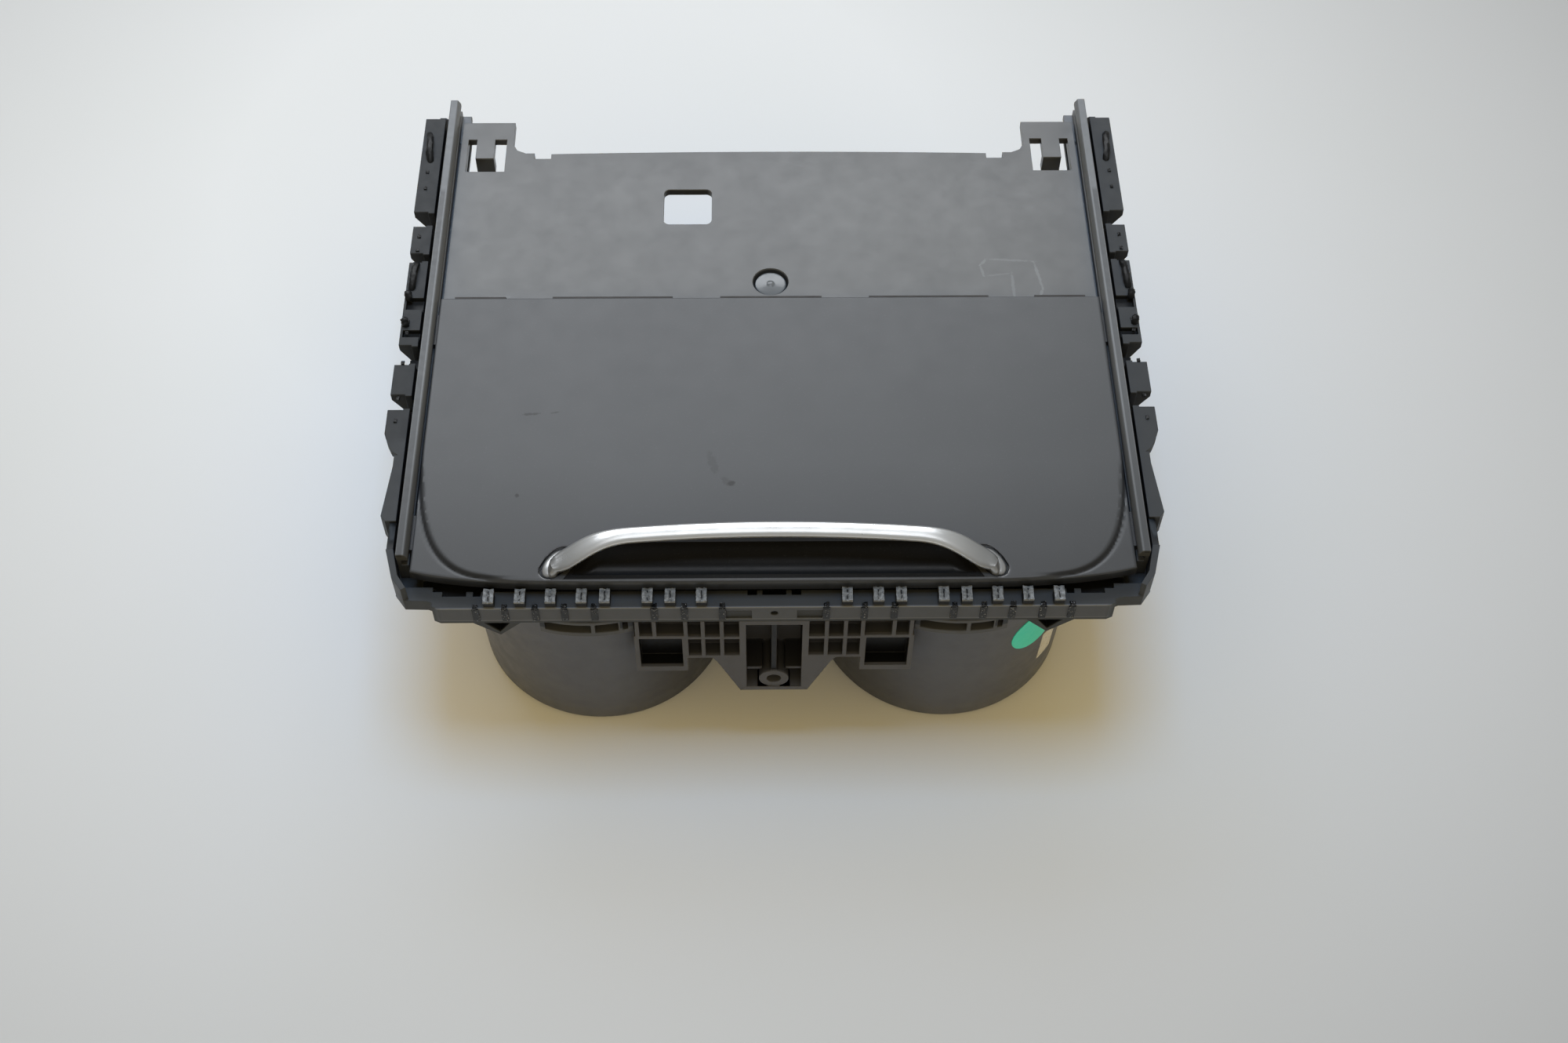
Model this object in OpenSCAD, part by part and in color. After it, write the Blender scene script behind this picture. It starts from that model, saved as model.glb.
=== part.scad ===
// Twin cup holder insert for a car's centre console, with a sliding cover.
// Millimetres. X runs across the car, Y to the rear, Z up. The cups stand on z = 0, and the
// origin is under the middle of the holder. The cover is drawn closed, at its front stop.

/* [Overall] */
// Length from the crossbar's front face to the rear ends of the rails
depth = 200.8; // [198:0.2:206]
// Width of the sliding cover
cover_w = 208; // [207:0.5:212]

/* [Cups] */
// Height of the deck's top above the ground
deck_h = 75.2; // [72:0.2:80]
// Thickness of the deck around the cups
deck_t = 2; // [1.6:0.1:2.4]
// Outer radius of a cup at the deck
cup_rim_r = 42.4; // [41.6:0.1:42.8]
// Outer radius of a cup at its base
cup_base_r = 39.7; // [38.5:0.1:40.5]
// Wall of a cup
cup_wall = 2.3; // [1.8:0.1:2.6]
// Floor of a cup
cup_floor = 2.5; // [2:0.1:4]
// Distance between the cups' centres
cup_pitch = 109; // [107:0.5:111]
// Thickness of the rubber mat in a cup
mat_t = 1.6; // [1:0.1:3]
// Gap between the mat and the cup's wall
mat_gap = 0.8; // [0.4:0.1:2]

/* [Grips] */
// Length of a grip along its pin
grip_w = 18.8; // [14:0.2:19]
// Length of a grip's arm, from its pin to its nose
grip_arm = 7.5; // [6:0.1:7.8]
// Slope of the arm below level at rest
grip_slope = 15; // [10:1:20]
// Radius of a grip's pin
grip_pin_r = 0.75; // [0.6:0.05:0.85]
// Running clearance round the pin
pin_clear = 0.05; // [0.03:0.01:0.08]
// Thickness of a grip's leaf spring
grip_spring_t = 0.3; // [0.2:0.05:0.4]

/* [Floor panel] */
// Height of the floor panel's top above the deck's top
panel_rise = 4.8; // [4.6:0.1:6]
// Thickness of the floor panel
panel_t = 2.5; // [2:0.1:2.8]
// Length of the square window's sides
window_a = 15.8; // [12:0.2:20]

/* [Cover] */
// Length of the cover
cover_len = 106.8; // [104:0.2:109]
// Thickness of the cover at its border
cover_t = 1.2; // [1:0.1:1.6]
// Step from the border up to the raised field
field_rise = 0.9; // [0.4:0.1:1.2]
// Height of the cover's underside above the floor panel
cover_lift = 1.8; // [1.7:0.1:2.6]

/* [Rails] */
// Width of a guide rail
rail_w = 3.3; // [3:0.1:4]
// Gap between the cover's edge and a rail
rail_gap = 0.9; // [0.6:0.1:1.4]
// Height of the rail's top above the cover
rail_rise = 1.1; // [0.6:0.1:2]
// Depth of the groove that the glide shoes run in
groove_d = 2; // [1.6:0.1:2.2]

/* [Carrier frame] */
// Gap between a rail and the side wall
wall_gap = 1.3; // [1:0.1:2]
// Thickness of the side wall
side_wall = 2; // [1.6:0.1:2.6]
// Reach of the weld tabs beyond the side wall
tab_reach = 4.7; // [3:0.1:6]
// Thickness of the weld tabs
tab_t = 2.6; // [2:0.1:3.4]
// Height of the crossbar's front face
crossbar_h = 7.7; // [6.5:0.1:7.9]
// Thickness of the crossbar's walls
crossbar_t = 2; // [1.6:0.1:2.2]
// Height of the broken weld posts above the crossbar
post_h = 3.3; // [2:0.1:4]

/* [Front bracket] */
// Radius of the screw bore in the bracket's boss
boss_bore_r = 2.15; // [1.6:0.05:2.6]
// Outer radius of that boss
boss_r = 4.5; // [4:0.1:5]
// Length of the screw bore
boss_bore_l = 12; // [8:0.5:13]

/* [Handle] */
// Distance between the middles of the handle's feet
handle_w = 124.6; // [122:0.2:128]
// Height of the handle's bow above the cover
bow_rise = 9.3; // [8:0.1:12]
// Width of the bow's band
bow_w = 4.9; // [4.4:0.1:5.6]
// Thickness of the bow's band
bow_t = 3; // [2.4:0.1:3.6]
// Radius of the finger scoop
scoop_r = 5.8; // [5:0.1:6]

/* [Screws] */
// Radius of the screws' shanks
screw_r = 1.1; // [0.9:0.05:1.25]
// Clearance round a shank where it passes through
screw_clear = 0.3; // [0.2:0.05:0.5]

/* [Hidden] */
$fn = 64;
eps = 0.01;

// Plan that the lengths below are drawn for, and the shares that they take at other sizes
drawn_plan = [208, 200.8];
across = cover_w / drawn_plan[0];
along = depth / drawn_plan[1];
plan_share = min(across, along);

front_y = -depth / 2;
rear_y = depth / 2;
cover_half = cover_w / 2;

deck_under = deck_h - deck_t;
ledge_top = deck_h + crossbar_t;
panel_top = deck_h + panel_rise;
panel_under = panel_top - panel_t;
cover_under = panel_top + cover_lift;
border_top = cover_under + cover_t;
cover_top = border_top + field_rise;
rail_top = cover_top + rail_rise;

rail_in = cover_half + rail_gap;
rail_out = rail_in + rail_w;
wall_in = rail_out + wall_gap;
wall_out = wall_in + side_wall;
tab_out = wall_out + tab_reach;
wall_top = rail_top - 2;
rail_front = front_y + 13.9 * along;

// Slide groove in a rail and the shoes in it
slide_gap = 0.3;
groove_bottom = panel_top - 0.1;
groove_top = cover_under + slide_gap;
shoe_bottom = panel_top + slide_gap + 0.05;
shoe_x = [cover_half - 4.4, rail_in + groove_d - slide_gap];
shoe_len = 14;

// Rail flange that carries the floor panel
flange_in = cover_half - 2.1;
rail_foot_in = cover_half - 1;
flange_under = deck_h + 0.2;

// Carrier shelf under the rails and the deck
shelf_in = cover_half - 6;
shelf_t = 2;
shelf_under = deck_under - shelf_t;
shelf_front = front_y + 8;
shelf_rear = rear_y - 1.7;
deck_half = cover_half - 2.5;

// Cups and the grip pockets round them
rim_r = cup_rim_r * plan_share;
base_r = cup_base_r * plan_share;
cup_x = cup_pitch / 2 * across;
pocket_r = rim_r + 2.8;
pocket_wall = 1.8;
pocket_half = grip_w / 2 + 2.6;
pocket_side = 1.6;
pocket_floor = deck_h - 11.2;
pocket_lip = 2;
pocket_slot_h = 4;
cup_y = front_y + crossbar_t + pocket_r + 0.1;
cup_angles = [270, 30, 150];
hinge_u = rim_r + 0.2;
hinge_z = deck_h - 2.6;
barrel_r = 1.5;
nose_r = 1.4;
arm_t = 1.8;
grip_bore_r = grip_pin_r + pin_clear;
pin_half = pocket_half + pocket_side - 0.1;
spring_half = 1.5;

// Floor panel
panel_front = 5.5 * along;
panel_rear = rear_y - 21;
panel_half = cover_half - 0.1;
panel_bow = 0.9;
hook_rear = rear_y - 6;
hook_in = panel_half - 17.6;
hook_front = hook_rear - 23.2;
hook_block_h = 6.7;
window_at = [-27 * across, rear_y - 45.6 * along];
gate_y = 21.7 * along;
gate_r = 5.4;
gate_d = 2;

// Cover
cover_front = front_y + 5.1;
cover_rear = cover_front + cover_len * along;
front_bow = 4.5;
field_corner = [29 * across, 54 * along];
rim_w = 1.8;
rim_drop = 2.2;
pad_spans = across * [[16, 31], [68.8, 83.5]];
pad_len = 4;
leaf_x = [cover_half - 16, cover_half - 9];

// Handle and scoop
scoop_y = cover_front + 8;
scoop_depth = 4.4;
scoop_t = 1.3;
scoop_half = [for (inset = [4.8, 12.3]) (handle_w / 2 - inset) * across];
foot_at = [handle_w / 2 * across, cover_front + 6.6];
foot_r = 2.4;
foot_turn = -55;
foot_oval = [12, 6.8];
bow_mid_y = cover_front + 12.4;
bow_flat = (handle_w / 2 - 22.3) * across;

// Crossbar
crossbar_half = cover_half - 6.2;
bar_chamfer = [1.8, 1.4];
corner_setback = 2.6;
corner_h = 4.6;
ledge_d = 6.4;
post_xs = across * [20.8, 29.7, 36.2, 48.3, 54.9, 63.7, 72.4, 81.3];
ledge_notches = across * [[-3.4, 3.4], [5, 7.7], [84, 86.2], [88.2, 95]];
post_size = [3, 4];
face_recess = [[6.5 * across, 14.2 * across], [ledge_top - 6.2, ledge_top - 1.8]];
peg_hole_r = 1.1;
gusset_xs = across * [72.5, 79.5, 87.5];
gusset_low = 7;

// Weld tabs along a side: distance of the rear end from the rails' end, length, reach share
tabs_drawn = [[7.1, 43.4, 1], [57, 11.7, 0.9], [72.7, 34.4, 0.85], [115, 11.7, 0.95], [132.6, 9, 1]];
tabs = [for (tab = tabs_drawn) [tab[0] * along, tab[1] * along, tab[2]]];
tab_slots = along * [[87.8, 4.8], [101.1, 2.8]];
slot_depth = 1.8;
low_block = along * [109.5, 113.2];
// the same distances for the front tab's taper and the fin before it
wall_step = 149.7 * along;
taper_ys = along * [141.5, 145.1, 148.2];
fin_ys = along * [153.8, 171.7, 173.6];
gusset_d = 7;
gusset_t = 1.6;

// Front bracket
bracket_front = front_y + 0.6;
bracket_back = bracket_front + 6.4;
bracket_plate = 1.8;
bracket_half = 40.5 * across;
bracket_rib = 1.2;
crate_low = deck_h - 25.9;
crate_mid = deck_h - 14.9;
crate_xs = across * [15.3, 20.8, 25.8, 34.9];
box_half = 10.2;
box_skirt = [17 * across, 19 * across];
box_low = deck_h - 45.2;
box_wall = 2;
box_back = bracket_front + 14;
boss_z = box_low + 6.2;
catch_x = across * [25.6, 41];
catch_z = [deck_h - 33.3, deck_h - 13.7];
catch_wall = 1.4;

// Sticker and label on the right cup: angle round the cup, height of the middle
film_t = 0.2;
sticker_at = [-51, deck_h - 33.2];
sticker_r = 9.5;
label_at = [-39, deck_h - 51.2];
label_size = [7, 15];

// Screws
head_r = 2.4;
head_h = 1.5;
rail_screw_x = rail_in + 0.8;
rail_screw_ys = [front_y + 22 * along, 0, rear_y - 14 * along];
well_screw_x = shelf_in + 1.7;
well_screw_ys = [cup_y - 24 * along, cup_y + 52 * along];
boss_rise = 3;
handle_head_h = 1.1;

// Helpers

// Block between two corners
module block(x, y, z) {
    translate([x[0], y[0], z[0]]) cube([x[1] - x[0], y[1] - y[0], z[1] - z[0]]);
}

// Flat shape in X and Z, drawn out along Y
module along_y(y) {
    translate([0, y[1], 0]) rotate([90, 0, 0]) linear_extrude(y[1] - y[0]) children();
}

// Flat shape in Y and Z, drawn out along X
module along_x(x) {
    translate([x[0], 0, 0]) rotate([90, 0, 90]) linear_extrude(x[1] - x[0]) children();
}

module both_sides() {
    children();
    mirror([1, 0, 0]) children();
}

module on_side(side) {
    mirror([side < 0 ? 1 : 0, 0, 0]) children();
}

// Rectangle about the origin with round corners
module round_rect(w, h, r) {
    square([w - 2 * r, h], center = true);
    square([w, h - 2 * r], center = true);
    for (sx = [-1, 1], sy = [-1, 1]) translate([sx * (w / 2 - r), sy * (h / 2 - r)]) circle(r);
}

// Frame of one cup: X points from the cup's centre towards the given angle
module at_cup(side, angle = 0) {
    translate([side * cup_x, cup_y, 0]) rotate([0, 0, angle]) children();
}

function cup_r(z) = base_r + (rim_r - base_r) * z / deck_h;

// Pan-head screw with its seat at z = 0 and its shank upwards
module screw(shank, head_height) {
    difference() {
        union() {
            cylinder(r = screw_r, h = shank);
            translate([0, 0, -head_height]) cylinder(r1 = head_r * 0.8, r2 = head_r, h = head_height);
        }
        for (a = [0, 90]) rotate([0, 0, a])
            block([-1.3, 1.3], [-0.3, 0.3], [-head_height - 1, -head_height + 0.6]);
    }
}

// Carrier frame

module side_wall_profile() {
    polygon([
        [shelf_front, shelf_under], [shelf_rear, shelf_under], [shelf_rear, panel_under],
        [shelf_rear - 5, wall_top], [rear_y - wall_step, wall_top], [rear_y - fin_ys[2] - 0.1, wall_top - 1],
        [front_y + 17.4, wall_top - 1], [shelf_front, ledge_top]
    ]);
}

// Weld tab: a shelf on the side wall with a gusset at each end
module weld_tab(tab) {
    y = [rear_y - tab[0] - tab[1], rear_y - tab[0]];
    x_out = wall_out + tab_reach * tab[2];
    block([wall_out - eps, x_out], y, [wall_top - tab_t, wall_top]);
    for (y0 = [y[0], y[1] - gusset_t]) along_y([y0, y0 + gusset_t])
        polygon([
            [wall_out - eps, wall_top], [x_out, wall_top], [x_out, wall_top - tab_t],
            [wall_out - eps, wall_top - tab_t - gusset_d]
        ]);
}

module side_frame() {
    difference() {
        union() {
            block([shelf_in, wall_out], [shelf_front, shelf_rear], [shelf_under, deck_under]);
            along_x([wall_in, wall_out]) side_wall_profile();
            for (tab = tabs) weld_tab(tab);
            // tapered end of the front tab, and the long fin in front of it
            linear_extrude_at(wall_top - tab_t, tab_t) polygon([
                [wall_out - eps, rear_y - wall_step], [wall_out - eps, rear_y - taper_ys[0]],
                [tab_out, rear_y - taper_ys[0]], [tab_out - 1.2, rear_y - taper_ys[1]],
                [wall_out + 2, rear_y - taper_ys[2]]
            ]);
            linear_extrude_at(deck_under, wall_top - deck_under) polygon([
                [wall_in, rear_y - fin_ys[2]], [wall_in, rear_y - wall_step],
                [wall_out + 1, rear_y - wall_step], [wall_out + 1, rear_y - fin_ys[0]],
                [wall_out + 2.7, rear_y - fin_ys[1]], [wall_out + 1.3, rear_y - fin_ys[2]]
            ]);
        }
        // gaps in the wall between the tabs
        for (i = [0:len(tabs) - 2])
            block(
                [wall_in - 1, tab_out],
                [rear_y - tabs[i + 1][0] + 0.5, rear_y - tabs[i][0] - tabs[i][1] - 0.5],
                [wall_top - 8, wall_top + 1]
            );
        for (slot = tab_slots)
            block(
                [wall_out - 2.4, tab_out - 1.5],
                [rear_y - slot[0] - slot[1], rear_y - slot[0]],
                [wall_top - slot_depth, wall_top + 1]
            );
        // opening under the outer slot of the panel's hook
        block(
            [shelf_in - 1, flange_in + 0.1], [hook_front - 0.5, rear_y], [shelf_under - 1, deck_under + 1]
        );
        // taper of the shelf and wall towards the crossbar
        linear_extrude_at(shelf_under - 1, 20) polygon(concat(
            corner_line, [[wall_out + 10, front_y + 2.4], [wall_out + 10, front_y + 17.4]]
        ));
        // room for the outer rear grip pocket
        block(
            [shelf_in - 1, deck_half + 0.5],
            [cup_y + pocket_r / 2 - 19, cup_y + pocket_r / 2 + 17],
            [shelf_under - 1, deck_under + 1]
        );
        for (y = rail_screw_ys) translate([rail_screw_x, y, shelf_under - 1])
            cylinder(r = screw_r + screw_clear, h = shelf_t + 2);
        for (y = well_screw_ys) translate([well_screw_x, y, shelf_under - 1])
            cylinder(r = screw_r + screw_clear, h = shelf_t + 2);
    }
    // low block between two tabs
    block(
        [wall_in - 1, wall_out + 0.8], [rear_y - low_block[1], rear_y - low_block[0]],
        [wall_top - 9, wall_top - 4.5]
    );
}

module linear_extrude_at(z, h) {
    translate([0, 0, z]) linear_extrude(h) children();
}

// Outer line of the corner, from the side wall round to the crossbar
corner_line = [
    [wall_out, front_y + 17.4], [wall_out - 2.6, front_y + 7.6], [wall_out - 5.6, front_y + 3.4]
];

// Corner where the side wall turns into the crossbar
module corner_block() {
    linear_extrude_at(ledge_top - corner_h, corner_h) polygon([
        [wall_out - 2.5, shelf_front], corner_line[1], corner_line[2],
        [crossbar_half + 1.5, front_y + corner_setback + 0.6], [crossbar_half, front_y + corner_setback],
        [crossbar_half, shelf_front]
    ]);
    linear_extrude_at(deck_under, wall_top - deck_under) polygon(concat(
        corner_line,
        [[wall_out - 7, front_y + 4.2], [wall_out - 4.2, front_y + 8.6], [wall_in - 0.2, front_y + 17.4]]
    ));
}

// Triangular pocket that hangs from the crossbar
module hanging_gusset() {
    low = ledge_top - crossbar_h;
    tri = [[gusset_xs[0], low + eps], [gusset_xs[2], low + eps], [gusset_xs[1], low - gusset_low]];
    difference() {
        along_y([front_y + 1, front_y + 5]) polygon(tri);
        along_y([front_y, front_y + 3.8]) polygon([
            [tri[0][0] + 2.6, low + 1], [tri[1][0] - 2.6, low + 1], [tri[2][0], low - gusset_low + 1.6]
        ]);
    }
}

// Plan of the crossbar, chamfered at the ends of its face
module bar_plan(d) {
    half = [
        [crossbar_half, front_y + d], [crossbar_half, front_y + bar_chamfer[1]],
        [crossbar_half - bar_chamfer[0], front_y]
    ];
    polygon(concat(half, [for (i = [2:-1:0]) [-half[i][0], half[i][1]]]));
}

module crossbar() {
    difference() {
        union() {
            linear_extrude_at(ledge_top - crossbar_h, crossbar_h) bar_plan(crossbar_t);
            linear_extrude_at(deck_h, crossbar_t) bar_plan(ledge_d);
            // tongues that hold the corners
            block(
                [-crossbar_half - 1, crossbar_half + 1], [front_y + corner_setback + 0.7, front_y + ledge_d],
                [deck_h, ledge_top]
            );
            both_sides() {
                for (x = post_xs)
                    block(
                        [x - post_size[0] / 2, x + post_size[0] / 2],
                        [front_y + 0.4, front_y + 0.4 + post_size[1]],
                        [ledge_top - eps, ledge_top + post_h]
                    );
            }
        }
        both_sides() {
            for (span = ledge_notches)
                block(span, [front_y + ledge_d - 1.6, front_y + ledge_d + 1], [deck_h - 1, ledge_top + 1]);
            // recesses beside the middle of the face
            block(face_recess[0], [front_y - 1, front_y + 1.2], face_recess[1]);
        }
        translate([0, front_y - 1, ledge_top - 3.4]) rotate([-90, 0, 0])
            cylinder(r = peg_hole_r, h = crossbar_t + 2);
    }
}

module carrier_frame() color("#2b2d2f") {
    crossbar();
    both_sides() {
        side_frame();
        corner_block();
        hanging_gusset();
    }
}

// Guide rails

module rail_section() {
    polygon([
        [rail_foot_in, deck_under], [rail_out, deck_under], [rail_out, rail_top],
        [rail_in + 0.9, rail_top], [rail_in, rail_top - 1.6], [rail_in, groove_top],
        [rail_in + groove_d, groove_top], [rail_in + groove_d, groove_bottom],
        [rail_in, groove_bottom], [rail_in, panel_under], [flange_in, panel_under],
        [flange_in, flange_under], [rail_foot_in, flange_under]
    ]);
}

module guide_rail(side) color("#4a4d4f") on_side(side) {
    difference() {
        along_y([rail_front, rear_y]) rail_section();
        for (y = rail_screw_ys) translate([rail_screw_x, y, deck_under - 1])
            cylinder(r = screw_r, h = panel_rise + 1);
    }
}

// Floor panel

module panel_outline() {
    half = [
        [panel_half, panel_front], [panel_half, hook_rear], [hook_in, hook_rear],
        [hook_in, panel_rear + 4.5], [hook_in - 1.4, panel_rear + 1.8], [hook_in - 4.4, panel_rear + 0.4],
        [hook_in - 7.4, panel_rear + 0.4], [hook_in - 7.4, panel_rear - 2.2],
        [hook_in - 13, panel_rear - 2.2], [hook_in - 13, panel_rear]
    ];
    arc_w = hook_in - 13;
    polygon(concat(
        half,
        [
            for (i = [1:11]) let (x = arc_w * (1 - i / 6))
                [x, panel_rear + panel_bow * (1 - pow(x / arc_w, 2))]
        ],
        [for (i = [len(half) - 1:-1:0]) [-half[i][0], half[i][1]]]
    ));
}

// Slots round a hook's tongue, open to each other in front of it
module hook_slots() {
    y = [hook_front, hook_front + 15.2];
    z = [panel_under - 1, panel_top + 1];
    block([panel_half - 5.2, panel_half - 2.3], y, z);
    block([panel_half - 15.3, panel_half - 11.3], y, z);
    block([panel_half - 15.3, panel_half - 2.3], [y[0], y[0] + 6.3], z);
}

module floor_panel() color("#808284") {
    difference() {
        union() {
            linear_extrude_at(panel_under, panel_t) panel_outline();
            block([-deck_half, deck_half], [panel_front, panel_front + 2], [deck_h, panel_under + eps]);
            translate([0, gate_y, panel_under - 1]) cylinder(r = gate_r + 1.6, h = 1 + eps);
            for (x = [-60, -8, 8, 60])
                block(
                    [x - 0.8, x + 0.8], [panel_front + 2.2, panel_rear - 3], [panel_under - 5, panel_under + eps]
                );
            both_sides()
                block(
                    [panel_half - 11.3, panel_half - 5.2], [hook_front + 6.3, hook_front + 9.3],
                    [panel_top - hook_block_h, panel_under + eps]
                );
        }
        both_sides() hook_slots();
        linear_extrude_at(panel_under - 1, panel_t + 2) translate(window_at)
            round_rect(window_a, window_a, 2);
        translate([0, gate_y, panel_top - gate_d])
            cylinder(r1 = gate_r - 0.3, r2 = gate_r + 0.4, h = gate_d + eps);
    }
    translate([0, gate_y, panel_top - gate_d - eps]) cylinder(r = 1.4, h = 0.6);
}

// Cups and their deck

module cup_outside() {
    base_round = 2;
    rotate_extrude() polygon([
        [0, 0], [base_r - base_round, 0], [base_r - 0.5, 0.6], [cup_r(base_round), base_round],
        [rim_r, deck_h], [0, deck_h]
    ]);
}

module cup_inside() {
    rotate_extrude() polygon([
        [0, cup_floor], [cup_r(cup_floor) - cup_wall - 1.2, cup_floor],
        [cup_r(cup_floor + 1.6) - cup_wall, cup_floor + 1.6], [rim_r - cup_wall, deck_h],
        [rim_r - cup_wall, deck_h + 1], [0, deck_h + 1]
    ]);
}

// Shelf, sides and back of one grip pocket, in the cup's frame
module pocket_solid(is_front) {
    difference() {
        intersection() {
            linear_extrude_at(pocket_floor - pocket_lip, deck_under + eps - pocket_floor + pocket_lip)
                circle(pocket_r + pocket_wall);
            block(
                [rim_r - 6, pocket_r + 5], [-pocket_half - pocket_side, pocket_half + pocket_side],
                [pocket_floor - pocket_lip, deck_h]
            );
        }
        if (is_front)
            block([pocket_r, pocket_r + 5], [-20, 20], [ledge_top - crossbar_h - 0.1, deck_h + 1]);
    }
}

module pocket_room() {
    intersection() {
        linear_extrude_at(pocket_floor, 20) circle(pocket_r);
        block([rim_r - 10, pocket_r + 1], [-pocket_half, pocket_half], [pocket_floor, deck_h + 1]);
    }
    // slot in the pocket's back, with two bars left in it
    for (t = [[-pocket_half, 1.4], [2.6, 9.3], [10.5, pocket_half]])
        block([pocket_r - 2, pocket_r + 5], t, [pocket_floor, pocket_floor + pocket_slot_h]);
    translate([hinge_u, 0, hinge_z]) rotate([90, 0, 0])
        cylinder(r = grip_bore_r, h = 2 * (pin_half + 2), center = true);
}

// Deck with the grip pockets under it
module cup_deck() color("#4c4946") {
    difference() {
        union() {
            linear_extrude_at(deck_under, deck_t) both_sides() polygon([
                [0, front_y + crossbar_t], [crossbar_half - 0.3, front_y + crossbar_t],
                [crossbar_half - 0.3, shelf_front + 0.3], [deck_half, shelf_front + 0.3],
                [deck_half, panel_front + 2], [0, panel_front + 2]
            ]);
            for (side = [-1, 1], a = cup_angles) at_cup(side, a) pocket_solid(a == 270);
            both_sides() for (y = well_screw_ys)
                translate([well_screw_x, y, deck_h - eps]) cylinder(r = 1.9, h = boss_rise);
        }
        for (side = [-1, 1]) {
            at_cup(side) cup_outside();
            for (a = cup_angles) at_cup(side, a) pocket_room();
        }
        both_sides() for (y = well_screw_ys)
            translate([well_screw_x, y, deck_under - 1]) cylinder(r = screw_r, h = deck_t + boss_rise);
    }
}

module cup(side) color("#4c4946") {
    difference() {
        at_cup(side) cup_outside();
        at_cup(side) cup_inside();
        for (a = cup_angles) at_cup(side, a) pocket_room();
    }
}

module cup_mat(side) color("#1b1b1c") at_cup(side) {
    mat_r = cup_r(cup_floor + mat_t) - cup_wall - mat_gap - 0.8;
    difference() {
        linear_extrude_at(cup_floor, mat_t) circle(mat_r);
        for (r = [10:7:mat_r - 4]) linear_extrude_at(cup_floor + mat_t - 0.5, 1) difference() {
            circle(r + 0.8);
            circle(r - 0.8);
        }
    }
}

// Grips, pins and springs, in a cup's frame

module grip() color("#202122") {
    along_y([-grip_w / 2, grip_w / 2]) translate([hinge_u, hinge_z]) difference() {
        union() {
            circle(barrel_r);
            rotate(180 + grip_slope) translate([0, -arm_t / 2]) square([grip_arm, arm_t]);
            rotate(180 + grip_slope) translate([grip_arm, 0]) circle(nose_r);
        }
        circle(grip_bore_r);
    }
}

module grip_pin() {
    translate([hinge_u, 0, hinge_z]) rotate([90, 0, 0])
        cylinder(r = grip_pin_r, h = 2 * pin_half, center = true);
}

module grip_pins() color("#b9bbbd") {
    for (side = [-1, 1], a = cup_angles) at_cup(side, a) grip_pin();
}

// Bent leaf between the pocket's back and the arm
module grip_spring() color("#b9bbbd") {
    t = grip_spring_t;
    back = pocket_r - 0.05;
    bend_z = pocket_floor + pocket_slot_h - 0.4;
    tip = [hinge_u - 1.9, hinge_z - 1.9];
    along_y([-spring_half, spring_half]) polygon([
        [back, hinge_z - 1.4], [back, bend_z - t], [back - 0.5, bend_z - 2 * t], tip - [0, t],
        tip, [back - 0.5 - t, bend_z], [back - t, bend_z + t], [back - t, hinge_z - 1.4]
    ]);
}

// Front bracket

module catch_pocket() {
    y = [bracket_front, bracket_back];
    difference() {
        block(catch_x, y, catch_z);
        block(
            [catch_x[0] + catch_wall, catch_x[1] - catch_wall], [y[0] - 1, y[1] - bracket_plate],
            [catch_z[0] + 2.5, catch_z[1] - catch_wall]
        );
    }
}

module screw_box() {
    y = [bracket_front, box_back];
    top = ledge_top - crossbar_h;
    difference() {
        block([-box_half, box_half], y, [box_low, top]);
        block(
            [-box_half + box_wall, box_half - box_wall], [y[0] - 1, y[1] - box_wall],
            [box_low + box_wall, top - box_wall]
        );
    }
    translate([0, y[0] + 0.4, boss_z]) rotate([-90, 0, 0]) cylinder(r = boss_r, h = y[1] - y[0] - 1);
    block([-0.8, 0.8], [y[0] + 1, y[1] - 1], [boss_z + boss_r - 1, top - 1]);
    both_sides() block([boss_r - 1, box_half - 1], [y[0] + 2, y[1] - 1], [boss_z + 3.2, boss_z + 4.4]);
    both_sides() along_y([y[0], y[0] + 1.6])
        polygon([
            [box_half - eps, crate_low + 1], [box_skirt[1], crate_low + 1], [box_skirt[0], crate_low - 2.3],
            [box_half - eps, box_low]
        ]);
}

module front_bracket() color("#3a3937") {
    top = ledge_top - crossbar_h;
    y = [bracket_front, bracket_back - eps];
    row_x = [box_half - eps, catch_x[0] + catch_wall];
    difference() {
        union() {
            screw_box();
            // back plate up to the deck, open behind the screw box
            difference() {
                block(
                    [-bracket_half, bracket_half], [y[1] + eps - bracket_plate, y[1] + eps],
                    [crate_low, deck_under]
                );
                block([1 - box_half, box_half - 1], [y[1] - 5, y[1] + 5], [crate_low - 1, top - 1]);
            }
            both_sides() {
                catch_pocket();
                for (x = crate_xs) block(
                    [x - bracket_rib / 2, x + bracket_rib / 2], y,
                    [x < catch_x[0] + 1 ? crate_low : catch_z[1] - eps, top]
                );
                for (z = [crate_low, crate_mid - bracket_rib / 2]) block(row_x, y, [z, z + bracket_rib]);
                block([bracket_half - bracket_rib, bracket_half], y, [catch_z[1] - eps, top]);
            }
        }
        translate([0, bracket_front - 1, boss_z]) rotate([-90, 0, 0])
            cylinder(r = boss_bore_r, h = boss_bore_l + 1.4);
    }
}

// Cover

function front_edge(x) = cover_front + front_bow * pow(abs(x) / cover_half, 6);

// Points of the cover's front edge, moved rearwards by the inset
function front_points(inset) = [for (i = [-20:20]) let (x = cover_half * i / 20) [x, front_edge(x) + inset]];

// Side of the raised field from its straight part round to its front edge
function field_side(side) = [
    for (i = [0:12]) let (a = 90 * i / 12, c = field_corner)
        [
            side * (cover_half - c[0] + c[0] * pow(cos(a), 2 / 3)),
            cover_front + 2 + c[1] - c[1] * pow(sin(a), 2 / 3)
        ]
];

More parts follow.
